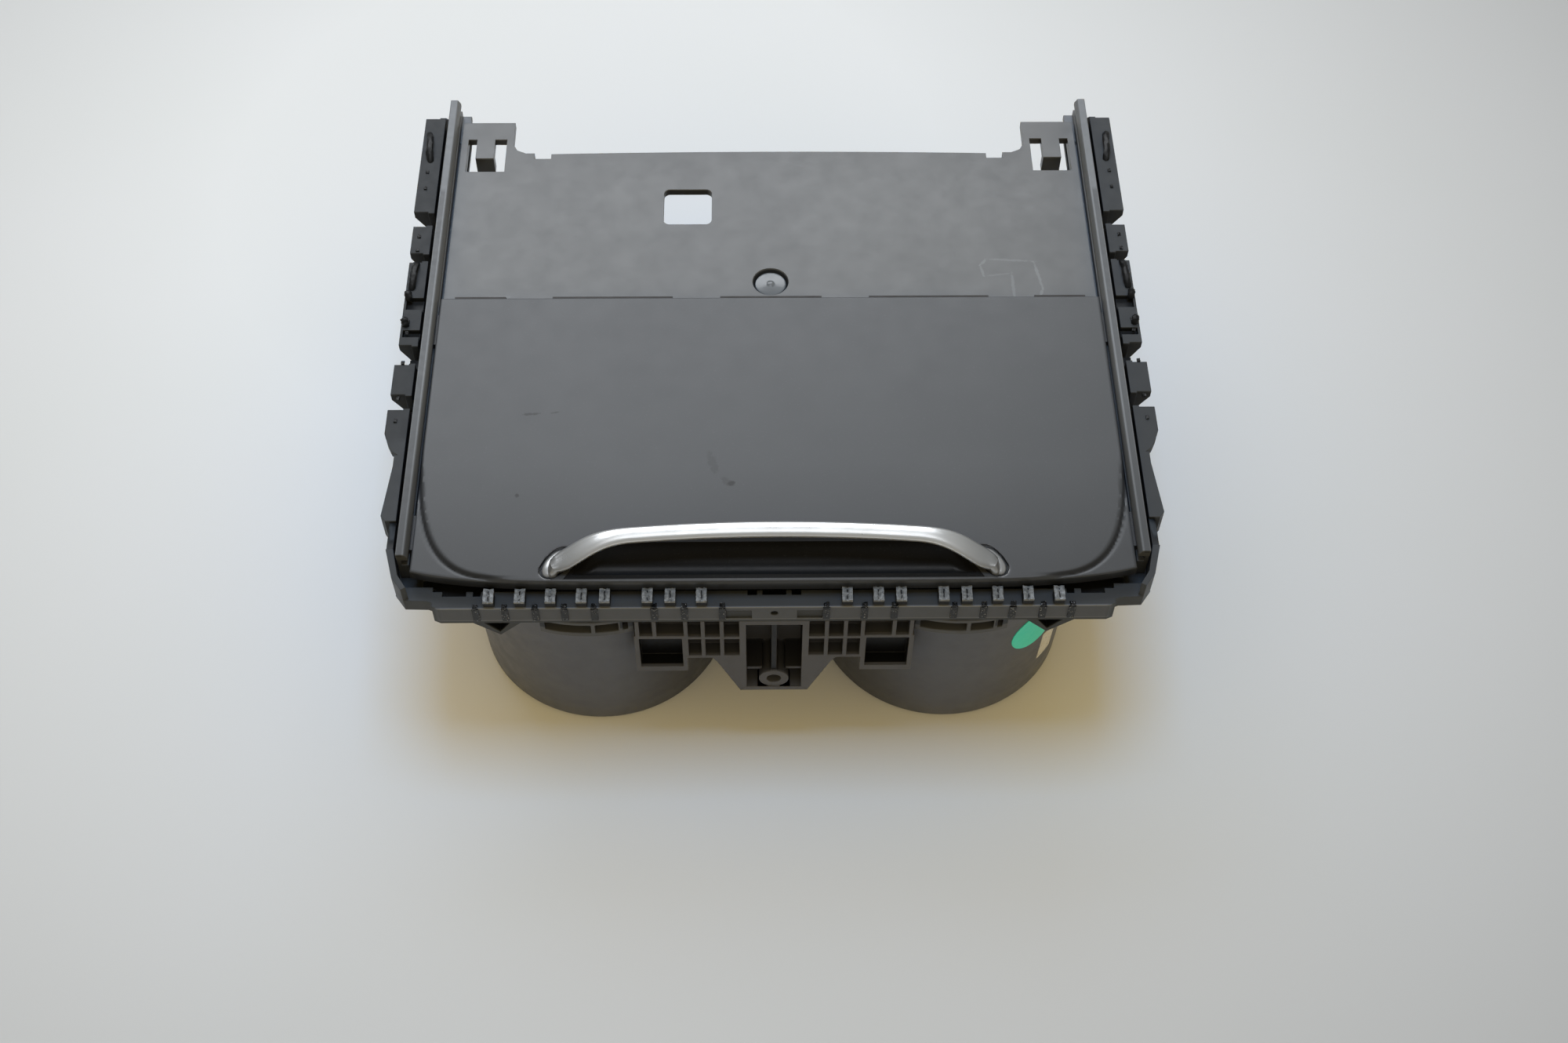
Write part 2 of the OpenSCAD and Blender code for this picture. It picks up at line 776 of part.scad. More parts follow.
module cover_outline() {
    polygon(concat(front_points(0), [[cover_half, cover_rear], [-cover_half, cover_rear]]));
}

module field_outline() {
    left = field_side(-1);
    polygon(concat(
        [[-cover_half, cover_rear]],
        left,
        [for (i = [len(left) - 1:-1:0]) [-left[i][0], left[i][1]]],
        [[cover_half, cover_rear]]
    ));
}

// Tapered plan of the finger scoop
module scoop_plan(grow) {
    y = [scoop_y - 8, scoop_y + 8];
    polygon([
        [-scoop_half[0] - grow, y[0]], [scoop_half[0] + grow, y[0]],
        [scoop_half[1] + grow, y[1]], [-scoop_half[1] - grow, y[1]]
    ]);
}

// Round trough of the given radius under the cover's top
module trough(r, grow) {
    intersection() {
        linear_extrude_at(cover_under - 12, 12 + cover_top - cover_under) scoop_plan(grow);
        translate([0, scoop_y, cover_top - scoop_depth + scoop_r]) rotate([0, 90, 0])
            cylinder(r = r, h = 2 * cover_half, center = true);
    }
}

module cover_panel() color("#76787b") {
    difference() {
        union() {
            linear_extrude_at(cover_under, cover_t) cover_outline();
            linear_extrude_at(border_top - eps, field_rise + eps) field_outline();
            // rim along the front edge
            linear_extrude_at(cover_under - rim_drop, rim_drop + cover_t) polygon(concat(
                front_points(0),
                [for (i = [40:-1:0]) front_points(rim_w)[i]]
            ));
        }
        trough(scoop_r + scoop_t, scoop_t);
        both_sides() {
            linear_extrude_at(border_top, field_rise + 1) translate(foot_at) rotate(foot_turn)
                round_rect(foot_oval[0], foot_oval[1], foot_oval[1] / 2 - 0.1);
            translate([foot_at[0], foot_at[1], cover_under - 1])
                cylinder(r = screw_r + screw_clear, h = cover_t + 2);
        }
    }
}

module handle_scoop() color("#1c1a1b") {
    difference() {
        trough(scoop_r + scoop_t, scoop_t);
        translate([0, 0, eps]) trough(scoop_r, 0);
    }
}

// Middle line of the bow: level over its middle, then a curve down to the foot
function bezier(p, t) =
    p[0] * pow(1 - t, 3) + 3 * p[1] * t * pow(1 - t, 2) + 3 * p[2] * t * t * (1 - t) + p[3] * pow(t, 3);

bow_z = cover_top + bow_rise - bow_t / 2;
bow_leg = [
    [bow_flat, bow_mid_y - 1.7, bow_z], [bow_flat + 12, bow_mid_y - 2.6, bow_z + 0.2],
    [foot_at[0] - 7, foot_at[1] + 3, bow_z - 4.6], [foot_at[0], foot_at[1], border_top + bow_w / 2]
];

leg_line = [for (i = [0:10]) bezier(bow_leg, i / 10)];
level_line = [
    for (i = [-5:5]) let (x = bow_flat * i / 6) [x, bow_mid_y - 1.7 * pow(x / bow_flat, 2), bow_z]
];
bow_line = concat(
    [for (i = [10:-1:0]) [-leg_line[i][0], leg_line[i][1], leg_line[i][2]]], level_line, leg_line
);

function unit(v) = v / norm(v);
function bow_ring(i, sides) =
    let (
        n = len(bow_line),
        t = unit(bow_line[min(i + 1, n - 1)] - bow_line[max(i - 1, 0)]),
        w = unit([0, 1, 0] - t[1] * t),
        up = cross(t, w)
    )
    [
        for (k = [0:sides - 1]) let (a = 360 * k / sides)
            bow_line[i] + w * (bow_w / 2) * sign(cos(a)) * pow(abs(cos(a)), 0.8)
            + up * (bow_t / 2) * sign(sin(a)) * pow(abs(sin(a)), 0.8)
    ];

module handle_bow() color("#c8c8cc") {
    sides = 14;
    rings = len(bow_line);
    points = [for (i = [0:rings - 1]) each bow_ring(i, sides)];
    skin = [
        for (i = [0:rings - 2], k = [0:sides - 1])
            let (a = i * sides + k, b = i * sides + (k + 1) % sides)
            each [[a, b + sides, b], [a, a + sides, b + sides]]
    ];
    ends = [
        [for (k = [0:sides - 1]) k],
        [for (k = [sides - 1:-1:0]) (rings - 1) * sides + k]
    ];
    difference() {
        union() {
            polyhedron(points, concat(skin, ends));
            both_sides() translate([foot_at[0], foot_at[1], border_top])
                cylinder(r = foot_r, h = bow_w / 2 + 0.4);
        }
        both_sides() translate([foot_at[0], foot_at[1], border_top - 1]) cylinder(r = screw_r, h = 2.6);
    }
}

// Runs under the cover

module glide_shoe(side, y) color("#d9d8d2") on_side(side) {
    block([shoe_x[0], cover_half - 0.4], [y, y + shoe_len], [shoe_bottom, cover_under]);
    linear_extrude_at(shoe_bottom, cover_under - shoe_bottom) polygon([
        [cover_half - 0.4 - eps, y + 1], [shoe_x[1] - 0.6, y + 1], [shoe_x[1], y + 1.6],
        [shoe_x[1], y + shoe_len - 1.6], [shoe_x[1] - 0.6, y + shoe_len - 1],
        [cover_half - 0.4 - eps, y + shoe_len - 1]
    ]);
}

module rear_glide_pads() color("#2a2a2a") {
    both_sides() for (span = pad_spans)
        block(span, [cover_rear - 0.2 - pad_len, cover_rear - 0.2], [shoe_bottom, cover_under]);
}

// Bowed leaf that rides above the floor panel
module leaf_spring(side) color("#b9bbbd") on_side(side) {
    t = 0.3;
    y = cover_rear - 14;
    drop = cover_under - shoe_bottom;
    along_x(leaf_x) polygon([
        [y, cover_under], [y, cover_under - t], [y - 1.6, cover_under - t], [y - 5, cover_under - drop],
        [y - 7, cover_under - drop], [y - 10.4, cover_under - t], [y - 12, cover_under - t],
        [y - 12, cover_under], [y - 10.2, cover_under], [y - 6.8, cover_under - drop + t],
        [y - 5.2, cover_under - drop + t], [y - 1.8, cover_under]
    ]);
}

front_shoe_y = rail_front + 3;
rear_shoe_y = cover_rear - 18;

// Screws

module rail_screws() color("#55585a") {
    both_sides() for (y = rail_screw_ys) translate([rail_screw_x, y, shelf_under]) screw(shelf_t + 4, head_h);
}

module well_screws() color("#55585a") {
    both_sides() for (y = well_screw_ys) translate([well_screw_x, y, shelf_under]) screw(shelf_t + 4, head_h);
}

module handle_screws() color("#55585a") {
    both_sides() translate([foot_at[0], foot_at[1], cover_under]) screw(cover_t + 1.4, handle_head_h);
}

// Label and sticker on the right cup, each a thin skin on the cup's cone
module cup_skin(t, low, high) {
    at_cup(1) difference() {
        translate([0, 0, low]) cylinder(r1 = cup_r(low) + t, r2 = cup_r(high) + t, h = high - low);
        translate([0, 0, low]) cylinder(r1 = cup_r(low), r2 = cup_r(high), h = high - low);
    }
}

module from_cup(angle, z) {
    at_cup(1, angle) translate([rim_r / 2, 0, z]) rotate([90, 0, 90]) linear_extrude(rim_r) children();
}

module sticker_shape() {
    from_cup(sticker_at[0], sticker_at[1]) rotate(-32) union() {
        circle(sticker_r);
        translate([0, -0.42 * sticker_r]) square([1.58 * sticker_r, 1.16 * sticker_r]);
    }
}

module green_sticker() color("#35a77e") intersection() {
    cup_skin(film_t, sticker_at[1] - 2 * sticker_r, sticker_at[1] + 2 * sticker_r);
    sticker_shape();
}

module white_label() color("#cfc9b8") difference() {
    intersection() {
        cup_skin(film_t, label_at[1] - label_size[1], label_at[1] + label_size[1]);
        from_cup(label_at[0], label_at[1]) square(label_size, center = true);
    }
    sticker_shape();
}

// Pieces

carrier_frame();
guide_rail(-1);  // left_guide_rail
guide_rail(1);  // right_guide_rail
floor_panel();
cup_deck();
cup(-1);  // left_cup
cup(1);  // right_cup
front_bracket();
cup_mat(-1);  // left_cup_mat
cup_mat(1);  // right_cup_mat
cover_panel();
handle_scoop();
handle_bow();
glide_shoe(-1, front_shoe_y);  // left_front_shoe
glide_shoe(-1, rear_shoe_y);  // left_rear_shoe
glide_shoe(1, front_shoe_y);  // right_front_shoe
glide_shoe(1, rear_shoe_y);  // right_rear_shoe
rear_glide_pads();
leaf_spring(-1);  // left_leaf_spring
leaf_spring(1);  // right_leaf_spring
rail_screws();
well_screws();
handle_screws();
grip_pins();
at_cup(-1, 270) grip();  // left_front_grip
at_cup(-1, 30) grip();  // left_inner_grip
at_cup(-1, 150) grip();  // left_outer_grip
at_cup(1, 270) grip();  // right_front_grip
at_cup(1, 150) grip();  // right_inner_grip
at_cup(1, 30) grip();  // right_outer_grip
at_cup(-1, 270) grip_spring();  // left_front_spring
at_cup(-1, 30) grip_spring();  // left_inner_spring
at_cup(-1, 150) grip_spring();  // left_outer_spring
at_cup(1, 270) grip_spring();  // right_front_spring
at_cup(1, 150) grip_spring();  // right_inner_spring
at_cup(1, 30) grip_spring();  // right_outer_spring
green_sticker();
white_label();
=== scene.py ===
"""Looks of a twin cup holder insert for a car's centre console, seen from the front and above."""
import logging
import math
from collections.abc import Callable, Iterable, Iterator, Sequence
from contextlib import contextmanager
from dataclasses import dataclass, replace
from enum import Enum

import bmesh
import bpy
from mathutils import Matrix, Vector, noise


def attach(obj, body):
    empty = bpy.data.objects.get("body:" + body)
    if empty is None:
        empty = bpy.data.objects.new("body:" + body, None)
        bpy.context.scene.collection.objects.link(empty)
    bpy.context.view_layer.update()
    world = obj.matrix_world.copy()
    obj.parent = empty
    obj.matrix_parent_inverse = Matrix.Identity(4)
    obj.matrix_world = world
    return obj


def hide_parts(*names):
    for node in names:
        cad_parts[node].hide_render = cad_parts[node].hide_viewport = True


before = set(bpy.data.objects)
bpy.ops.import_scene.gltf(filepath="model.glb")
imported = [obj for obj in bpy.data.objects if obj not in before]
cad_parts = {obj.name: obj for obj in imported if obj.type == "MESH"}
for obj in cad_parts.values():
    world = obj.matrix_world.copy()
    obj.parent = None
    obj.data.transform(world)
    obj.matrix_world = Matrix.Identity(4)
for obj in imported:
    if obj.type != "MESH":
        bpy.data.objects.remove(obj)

MM = 0.001
ROUND = 48  # points round an oval
SMEAR_SHARE = 0.23  # size of a finish's smears, as a share of its cloudy patches
log = logging.getLogger("cup_holder")

Point = tuple[float, float, float]
Colour = tuple[float, float, float, float]
Tree = bpy.types.NodeTree
Node = bpy.types.ShaderNode
Socket = bpy.types.NodeSocket


class Side(Enum):
    """The two sides of the holder, with the sign of their X."""

    LEFT = -1
    RIGHT = 1


# Nodes


def metres(values: Iterable[float]) -> tuple[float, ...]:
    """Values in metres from values in millimetres."""
    return tuple(value * MM for value in values)


def linear(code: str) -> Colour:
    """Linear colour with full alpha from a hex sRGB code."""
    parts = [int(code[i:i + 2], 16) / 255 for i in (1, 3, 5)]
    r, g, b = (p / 12.92 if p <= 0.04045 else ((p + 0.055) / 1.055) ** 2.4 for p in parts)
    return r, g, b, 1.0


def blank_tree(owner: bpy.types.ID) -> Tree:
    """Emptied node tree of a material or a world."""
    owner.use_nodes = True
    owner.node_tree.nodes.clear()
    return owner.node_tree


def add_node(tree: Tree, kind: str, settings: dict | None = None, **links) -> bpy.types.Node:
    """Adds a node to a tree.

    Args:
        tree: the tree that gets the node.
        kind: the node's type name.
        settings: attributes of the node, set before its sockets.
        links: socket name (with _ for a space) or i and its number, to a value or a socket that feeds it.

    Returns:
        The new node.
    """
    node = tree.nodes.new(kind)
    for name, value in (settings or {}).items():
        setattr(node, name, value)
    for name, value in links.items():
        key = int(name[1:]) if name[0] == "i" and name[1:].isdigit() else name.replace("_", " ")
        socket = node.inputs[key]
        if isinstance(value, bpy.types.NodeSocket):
            tree.links.new(value, socket)
        else:
            socket.default_value = value
    return node


def maths(tree: Tree, operation: str, *values: Socket | float) -> Socket:
    """Result of one step of arithmetic on numbers."""
    links = {f"i{i}": value for i, value in enumerate(values)}
    return add_node(tree, "ShaderNodeMath", {"operation": operation}, **links).outputs[0]


def vector_maths(tree: Tree, operation: str, *values: Socket | Point) -> Socket:
    """Result of one step of arithmetic on vectors; a length or a dot product is a number."""
    links = {f"i{i}": value for i, value in enumerate(values)}
    node = add_node(tree, "ShaderNodeVectorMath", {"operation": operation}, **links)
    return node.outputs["Value" if operation in ("LENGTH", "DOT_PRODUCT") else "Vector"]


def ramp(tree: Tree, value: Socket, low: float, high: float, start: float, end: float,
         smooth: bool = True) -> Socket:
    """Start where the value is at low, end where it is at high, and held beyond both."""
    settings = {"interpolation_type": "SMOOTHSTEP"} if smooth else {}
    return add_node(
        tree, "ShaderNodeMapRange", settings, Value=value, From_Min=low, From_Max=high,
        To_Min=start, To_Max=end,
    ).outputs["Result"]


def mix(tree: Tree, share: Socket | float, first: Socket | Colour, second: Socket | Colour) -> Socket:
    """Mix of two colours."""
    return add_node(tree, "ShaderNodeMix", {"data_type": "RGBA"}, i0=share, i6=first, i7=second).outputs[2]


def cloud(tree: Tree, vector: Socket, size: float, detail: float, roughness: float = 0.55) -> Socket:
    """Noise with features of a real size in millimetres."""
    return add_node(
        tree, "ShaderNodeTexNoise", Vector=vector, Scale=1 / (size * MM), Detail=detail, Roughness=roughness
    ).outputs["Fac"]


def bump(tree: Tree, height: Socket, depth: float, normal: Socket | None) -> Socket:
    """Bump of a real depth in millimetres on top of a normal."""
    node = add_node(tree, "ShaderNodeBump", Strength=1.0, Distance=depth * MM, Height=height)
    if normal is not None:
        tree.links.new(normal, node.inputs["Normal"])
    return node.outputs["Normal"]


# Finishes


@dataclass(frozen=True)
class PaintedLight:
    """A box of painted light or shade on a finish, where the lamps alone don't give the shade wanted.

    The box is in millimetres. The painted colour has its whole share up to the full part of the box,
    and fades from there to the box's faces.
    """

    centre: Point
    half: Point
    colour: str
    share: float
    full: float = 0.97

    def inside(self, tree: Tree, place: Socket) -> Socket:
        """Share of the painted light or shade at a place."""
        moved = add_node(
            tree, "ShaderNodeMapping", {"vector_type": "TEXTURE"}, Vector=place,
            Location=metres(self.centre), Scale=metres(self.half),
        ).outputs["Vector"]
        parts = add_node(tree, "ShaderNodeSeparateXYZ", i0=vector_maths(tree, "ABSOLUTE", moved)).outputs
        most = maths(tree, "MAXIMUM", maths(tree, "MAXIMUM", parts[0], parts[1]), parts[2])
        return ramp(tree, most, self.full, 1.0, self.share, 0.0, smooth=False)


def painted_pair(centre: Point, half: Point, colour: str, share: float, full: float = 0.97) -> tuple[PaintedLight, PaintedLight]:
    """The same painted light or shade on the left and on the right."""
    x, y, z = centre
    return PaintedLight((-x, y, z), half, colour, share, full), PaintedLight(centre, half, colour, share, full)


@dataclass(frozen=True)
class Mark:
    """A soft oval stain seen from above. Lengths are in millimetres and the turn is in degrees."""

    x: float
    y: float
    half_length: float
    half_width: float
    turn: float
    share: float


@dataclass(frozen=True)
class Finish:
    """A surface finish. Lengths are in millimetres.

    The cloudy patch size, the grain size and depth, and the rub on the edges follow the real
    material: moulded plastic has a fine spark-eroded grain, torn plastic is coarse, film is smooth.
    Specks, which on some finishes are painted glints, lie over the patches, then painted light and shade,
    and over them all the lighter edges: part rub wear and part painted highlight.
    """

    name: str
    colour: str
    patch: str
    slot: str
    patch_mm: float = 18.0
    patch_share: float = 0.5
    grain_mm: float = 0.35
    grain_depth: float = 0.010
    wave_mm: float = 40.0
    wave_depth: float = 0.0
    stretch: Point = (1.0, 1.0, 1.0)
    rough: float = 0.45
    rough_spread: float = 0.08
    specular: float = 0.5
    metallic: float = 0.0
    edge: str = ""
    edge_mm: float = 0.3
    edge_share: float = 0.5
    speck_and_glint: str = ""
    speck_and_glint_mm: float = 0.8
    speck_and_glint_share: float = 0.0
    painted_light: tuple[PaintedLight, ...] = ()

    def build(self) -> bpy.types.Material:
        """Makes the finish's material.

        Returns:
            The material, or the one made before under the same name.
        """
        known = bpy.data.materials.get(f"{self.name}_finish")
        if known:
            return known
        material = bpy.data.materials.new(f"{self.name}_finish")
        tree = blank_tree(material)
        place = add_node(tree, "ShaderNodeTexCoord").outputs["Object"]
        stretched = add_node(tree, "ShaderNodeMapping", Vector=place, Scale=self.stretch).outputs["Vector"]
        patches = cloud(tree, stretched, self.patch_mm, 4.0)
        fine = cloud(tree, place, self.grain_mm, 2.0)
        smears = cloud(tree, place, self.patch_mm * SMEAR_SHARE, 5.0)
        patched = ramp(tree, patches, 0.3, 0.7, 0.0, self.patch_share)
        colour = mix(tree, patched, linear(self.colour), linear(self.patch))
        smoothest = max(0.02, self.rough - self.rough_spread)
        roughest = min(1.0, self.rough + self.rough_spread)
        rough = ramp(tree, smears, 0.25, 0.75, smoothest, roughest, smooth=False)
        # specks; on the melted beads they are painted glints
        if self.speck_and_glint:
            speck_and_glint_noise = cloud(tree, place, self.speck_and_glint_mm, 1.0)
            speck_and_glint_mask = ramp(tree, speck_and_glint_noise, 0.66, 0.72, 0.0, self.speck_and_glint_share)
            colour = mix(tree, speck_and_glint_mask, colour, linear(self.speck_and_glint))
        # painted light and shade, box by box, over the colour
        for painted_box in self.painted_light:
            colour = mix(tree, painted_box.inside(tree, place), colour, linear(painted_box.colour))
        normal = None
        # lighter edges: part rub wear, part painted highlight
        if self.edge:
            colour, normal = self._rub_and_highlight(tree, colour, smears)
        relief = bump(tree, fine, self.grain_depth, normal)
        if self.wave_depth:
            relief = bump(tree, cloud(tree, stretched, self.wave_mm, 2.0), self.wave_depth, relief)
        shader = add_node(
            tree, "ShaderNodeBsdfPrincipled", Base_Color=colour, Roughness=rough, Normal=relief,
            Metallic=self.metallic,
        )
        if not self.metallic:
            shader.inputs["Specular IOR Level"].default_value = self.specular
        add_node(tree, "ShaderNodeOutputMaterial", Surface=shader.outputs["BSDF"])
        self.dress_tree(tree, shader, place)
        return material

    def _rub_and_highlight(self, tree: Tree, colour: Socket, smears: Socket) -> tuple[Socket, Socket]:
        """Colour with lighter edges, part rub wear and part painted highlight, where the rounded normal
        leaves the true one, and that normal.
        """
        rounded = add_node(tree, "ShaderNodeBevel", {"samples": 4}, Radius=self.edge_mm * MM)
        normal = rounded.outputs["Normal"]
        true = add_node(tree, "ShaderNodeNewGeometry").outputs["True Normal"]
        turned = maths(tree, "SUBTRACT", 1.0, vector_maths(tree, "DOT_PRODUCT", normal, true))
        wear_and_highlight = ramp(tree, maths(tree, "MULTIPLY", turned, smears), 0.01, 0.12, 0.0, self.edge_share)
        return mix(tree, wear_and_highlight, colour, linear(self.edge)), normal

    def dress_tree(self, tree: Tree, shader: Node, place: Socket) -> None:
        """Adds marks of its own to a finish; a plain finish has none."""


@dataclass(frozen=True)
class MarkedFinish(Finish):
    """A finish with a few stains in the colour of its marks."""

    marks: tuple[Mark, ...] = ()
    mark_colour: str = "#141414"

    def dress_tree(self, tree: Tree, shader: Node, place: Socket) -> None:
        """Adds the marks to the base colour.

        Args:
            tree: the material's tree.
            shader: its main shader.
            place: object coordinates in metres.
        """
        colour = shader.inputs["Base Color"].links[0].from_socket
        ragged = cloud(tree, place, 1.6, 4.0, 0.7)
        for mark in self.marks:
            moved = add_node(
                tree, "ShaderNodeMapping", {"vector_type": "TEXTURE"}, Vector=place,
                Location=(mark.x * MM, mark.y * MM, 0.0), Rotation=(0.0, 0.0, math.radians(mark.turn)),
                Scale=(mark.half_length * MM, mark.half_width * MM, 1.0),
            ).outputs["Vector"]
            flat = vector_maths(tree, "MULTIPLY", moved, (1.0, 1.0, 0.0))
            reach = maths(tree, "MULTIPLY_ADD", ragged, 1.4, vector_maths(tree, "LENGTH", flat))
            inside = ramp(tree, reach, 1.5, 1.1, 0.0, mark.share)
            colour = mix(tree, inside, colour, linear(self.mark_colour))
        tree.links.new(colour, shader.inputs["Base Color"])


@dataclass(frozen=True)
class CoverFinish(MarkedFinish):
    """The cover's finish: marks, and the painted shade of the crease that runs round the raised field.

    The crease leaves its straight sides at start, and reach is the width and depth of its corner.
    Both follow the corner of the cover's raised field, in millimetres.
    """

    start: tuple[float, float] = (75.0, -39.3)
    reach: tuple[float, float] = (29.0, 54.0)
    crease_mm: float = 0.75
    crease_shade: str = "#0e0e10"
    crease_rough: float = 0.85
    front_share: float = 0.72
    side_share: float = 0.45

    def dress_tree(self, tree: Tree, shader: Node, place: Socket) -> None:
        """Adds the marks and the crease.

        Args:
            tree: the material's tree.
            shader: its main shader.
            place: object coordinates in metres.
        """
        super().dress_tree(tree, shader, place)

        def step(operation: str, *values: Socket | float) -> Socket:
            """Result of one step of arithmetic."""
            return maths(tree, operation, *values)

        wide, deep = metres(self.reach)
        parts = add_node(tree, "ShaderNodeSeparateXYZ", i0=place).outputs
        middle = step("ABSOLUTE", parts[0])
        across = step("MAXIMUM", step("DIVIDE", step("SUBTRACT", middle, self.start[0] * MM), wide), 0.0)
        along = step("MAXIMUM", step("DIVIDE", step("SUBTRACT", self.start[1] * MM, parts[1]), deep), 0.0)
        # distance from the corner's curve: how far the outline's value is from 1, over its slope
        total = step("ADD", step("POWER", across, 3.0), step("POWER", along, 3.0))
        out = step("POWER", step("MAXIMUM", total, 1e-9), 1 / 3)
        steep = step(
            "ADD", step("DIVIDE", step("MULTIPLY", across, across), wide),
            step("DIVIDE", step("MULTIPLY", along, along), deep),
        )
        slope = step("DIVIDE", step("MAXIMUM", steep, 1e-4), step("MULTIPLY", out, out))
        away = step("ABSOLUTE", step("DIVIDE", step("SUBTRACT", 1.0, out), slope))
        # the painted shade of the crease is fainter along the straight sides, and fades out towards the
        # front's middle
        outward = ramp(tree, middle, 0.070, 0.082, 0.0, 1.0)
        rearward = ramp(tree, parts[1], -0.062, -0.030, self.front_share, self.side_share)
        line = ramp(tree, away, 0.2 * self.crease_mm * MM, self.crease_mm * MM, 1.0, 0.0)
        share = step("MULTIPLY", line, step("MULTIPLY", rearward, outward))
        # paint the crease's shade into the colour, and roughen it there
        crease_shaded = {"Base Color": linear(self.crease_shade), "Roughness": (*[self.crease_rough] * 3, 1.0)}
        for name, value in crease_shaded.items():
            socket = shader.inputs[name]
            tree.links.new(mix(tree, share, socket.links[0].from_socket, value), socket)


FRAME = Finish(
    "frame_plastic", "#37393b", "#3f4143", "frame_plastic", rough=0.5, rough_spread=0.07, grain_mm=0.5,
    patch_share=0.35, specular=0.24, grain_depth=0.01, edge="#5b5e60", edge_mm=0.2, edge_share=0.5,
    # painted shade on the weld posts, the low faces and undersides, the grip pockets and the left tabs'
    # sheen; a painted reflection on the crossbar's face and painted highlights along its upper and lower
    # edges
    painted_light=(
        PaintedLight((0.0, -98.0, 79.2), (97.0, 2.6, 1.7), "#0c0c0d", 0.85),
        PaintedLight((0.0, 6.0, 76.0), (130.0, 90.0, 6.6), "#0b0b0c", 0.75),
        PaintedLight((0.0, -97.35, 65.7), (88.0, 1.65, 3.7), "#050505", 0.9),
        PaintedLight((0.0, -99.9, 73.9), (98.0, 0.5, 3.5), "#585b63", 0.6),
        PaintedLight((0.0, -100.0, 76.95), (98.0, 0.5, 0.25), "#8a8c8e", 0.5),
        PaintedLight((0.0, -100.0, 70.9), (98.0, 0.5, 0.2), "#7a7c7e", 0.35),
        PaintedLight((-60.0, 30.0, 84.5), (60.0, 75.0, 3.0), "#141516", 0.35),
    ),
)
RAIL = Finish(
    "rail_plastic", "#6b6d70", "#747679", "rail_plastic", rough=0.42, rough_spread=0.08, patch_mm=9,
    stretch=(1, 0.12, 1), edge="#77797a", edge_mm=0.25, edge_share=0.6, grain_depth=0.012,
    # painted shade on the rails' low faces, in a groove along their outer side, and towards the front
    painted_light=(
        PaintedLight((0.0, 0.0, 79.0), (130.0, 120.0, 5.7), "#141415", 0.25),
        *painted_pair((107.1, -16.0, 85.0), (0.75, 75.0, 1.0), "#232425", 0.55),
        PaintedLight((0.0, -110.0, 84.0), (300.0, 90.0, 40.0), "#141515", 0.75, full=0.0),
    ),
)
PANEL = MarkedFinish(
    "panel_plastic", "#585858", "#616160", "panel_plastic", rough=0.36, rough_spread=0.05, patch_mm=30,
    stretch=(1, 0.15, 1), grain_mm=0.4, grain_depth=0.005, wave_mm=34, wave_depth=0.012, edge="#7d7f80",
    edge_mm=0.2, edge_share=0.4, mark_colour="#a5a7a9",
    # painted shade on the low faces and undersides, and on the sheen towards the rear
    painted_light=(
        PaintedLight((0.0, 52.0, 76.0), (110.0, 60.0, 3.6), "#0b0b0b", 0.85),
        PaintedLight((0.0, 106.0, 80.0), (300.0, 45.0, 30.0), "#242424", 0.4, full=0.0),
    ),
    marks=(
        Mark(68.15, 26.1, 4.1, 0.8, 100.6, 0.17),
        Mark(68.8, 29.85, 2.9, 0.8, 50.8, 0.17),
        Mark(77.5, 30.6, 12.0, 0.7, -4.1, 0.14),
        Mark(86.1, 24.2, 9.5, 0.8, -80.4, 0.18),
        Mark(86.25, 15.8, 4.3, 0.8, 71.2, 0.18),
        Mark(77.7, 18.85, 10.0, 0.8, -89.0, 0.16),
        Mark(73.1, 24.35, 7.3, 0.6, 8.2, 0.1),
        Mark(-84.0, 14.1, 18.0, 1.0, -3.0, 0.16),
        Mark(-89.5, 15.2, 11.0, 0.9, 4.0, 0.1),
    ),
)
CUP = Finish(
    "cup_plastic", "#4e515b", "#555860", "cup_plastic", rough=0.4, rough_spread=0.08, patch_mm=22,
    specular=0.32, grain_depth=0.01, edge="#5f5d5a", edge_mm=0.25, edge_share=0.4,
    # painted shade under the crossbar and the cover, and on the cups' inner flanks between them
    painted_light=(
        PaintedLight((0.0, -95.0, 75.0), (104.0, 6.0, 3.5), "#050505", 0.92),
        PaintedLight((0.0, -97.4, 68.3), (104.0, 1.7, 3.4), "#050505", 0.9),
        PaintedLight((0.0, -80.0, 14.0), (50.0, 60.0, 60.0), "#060505", 1.0, full=0.0),
    ),
)
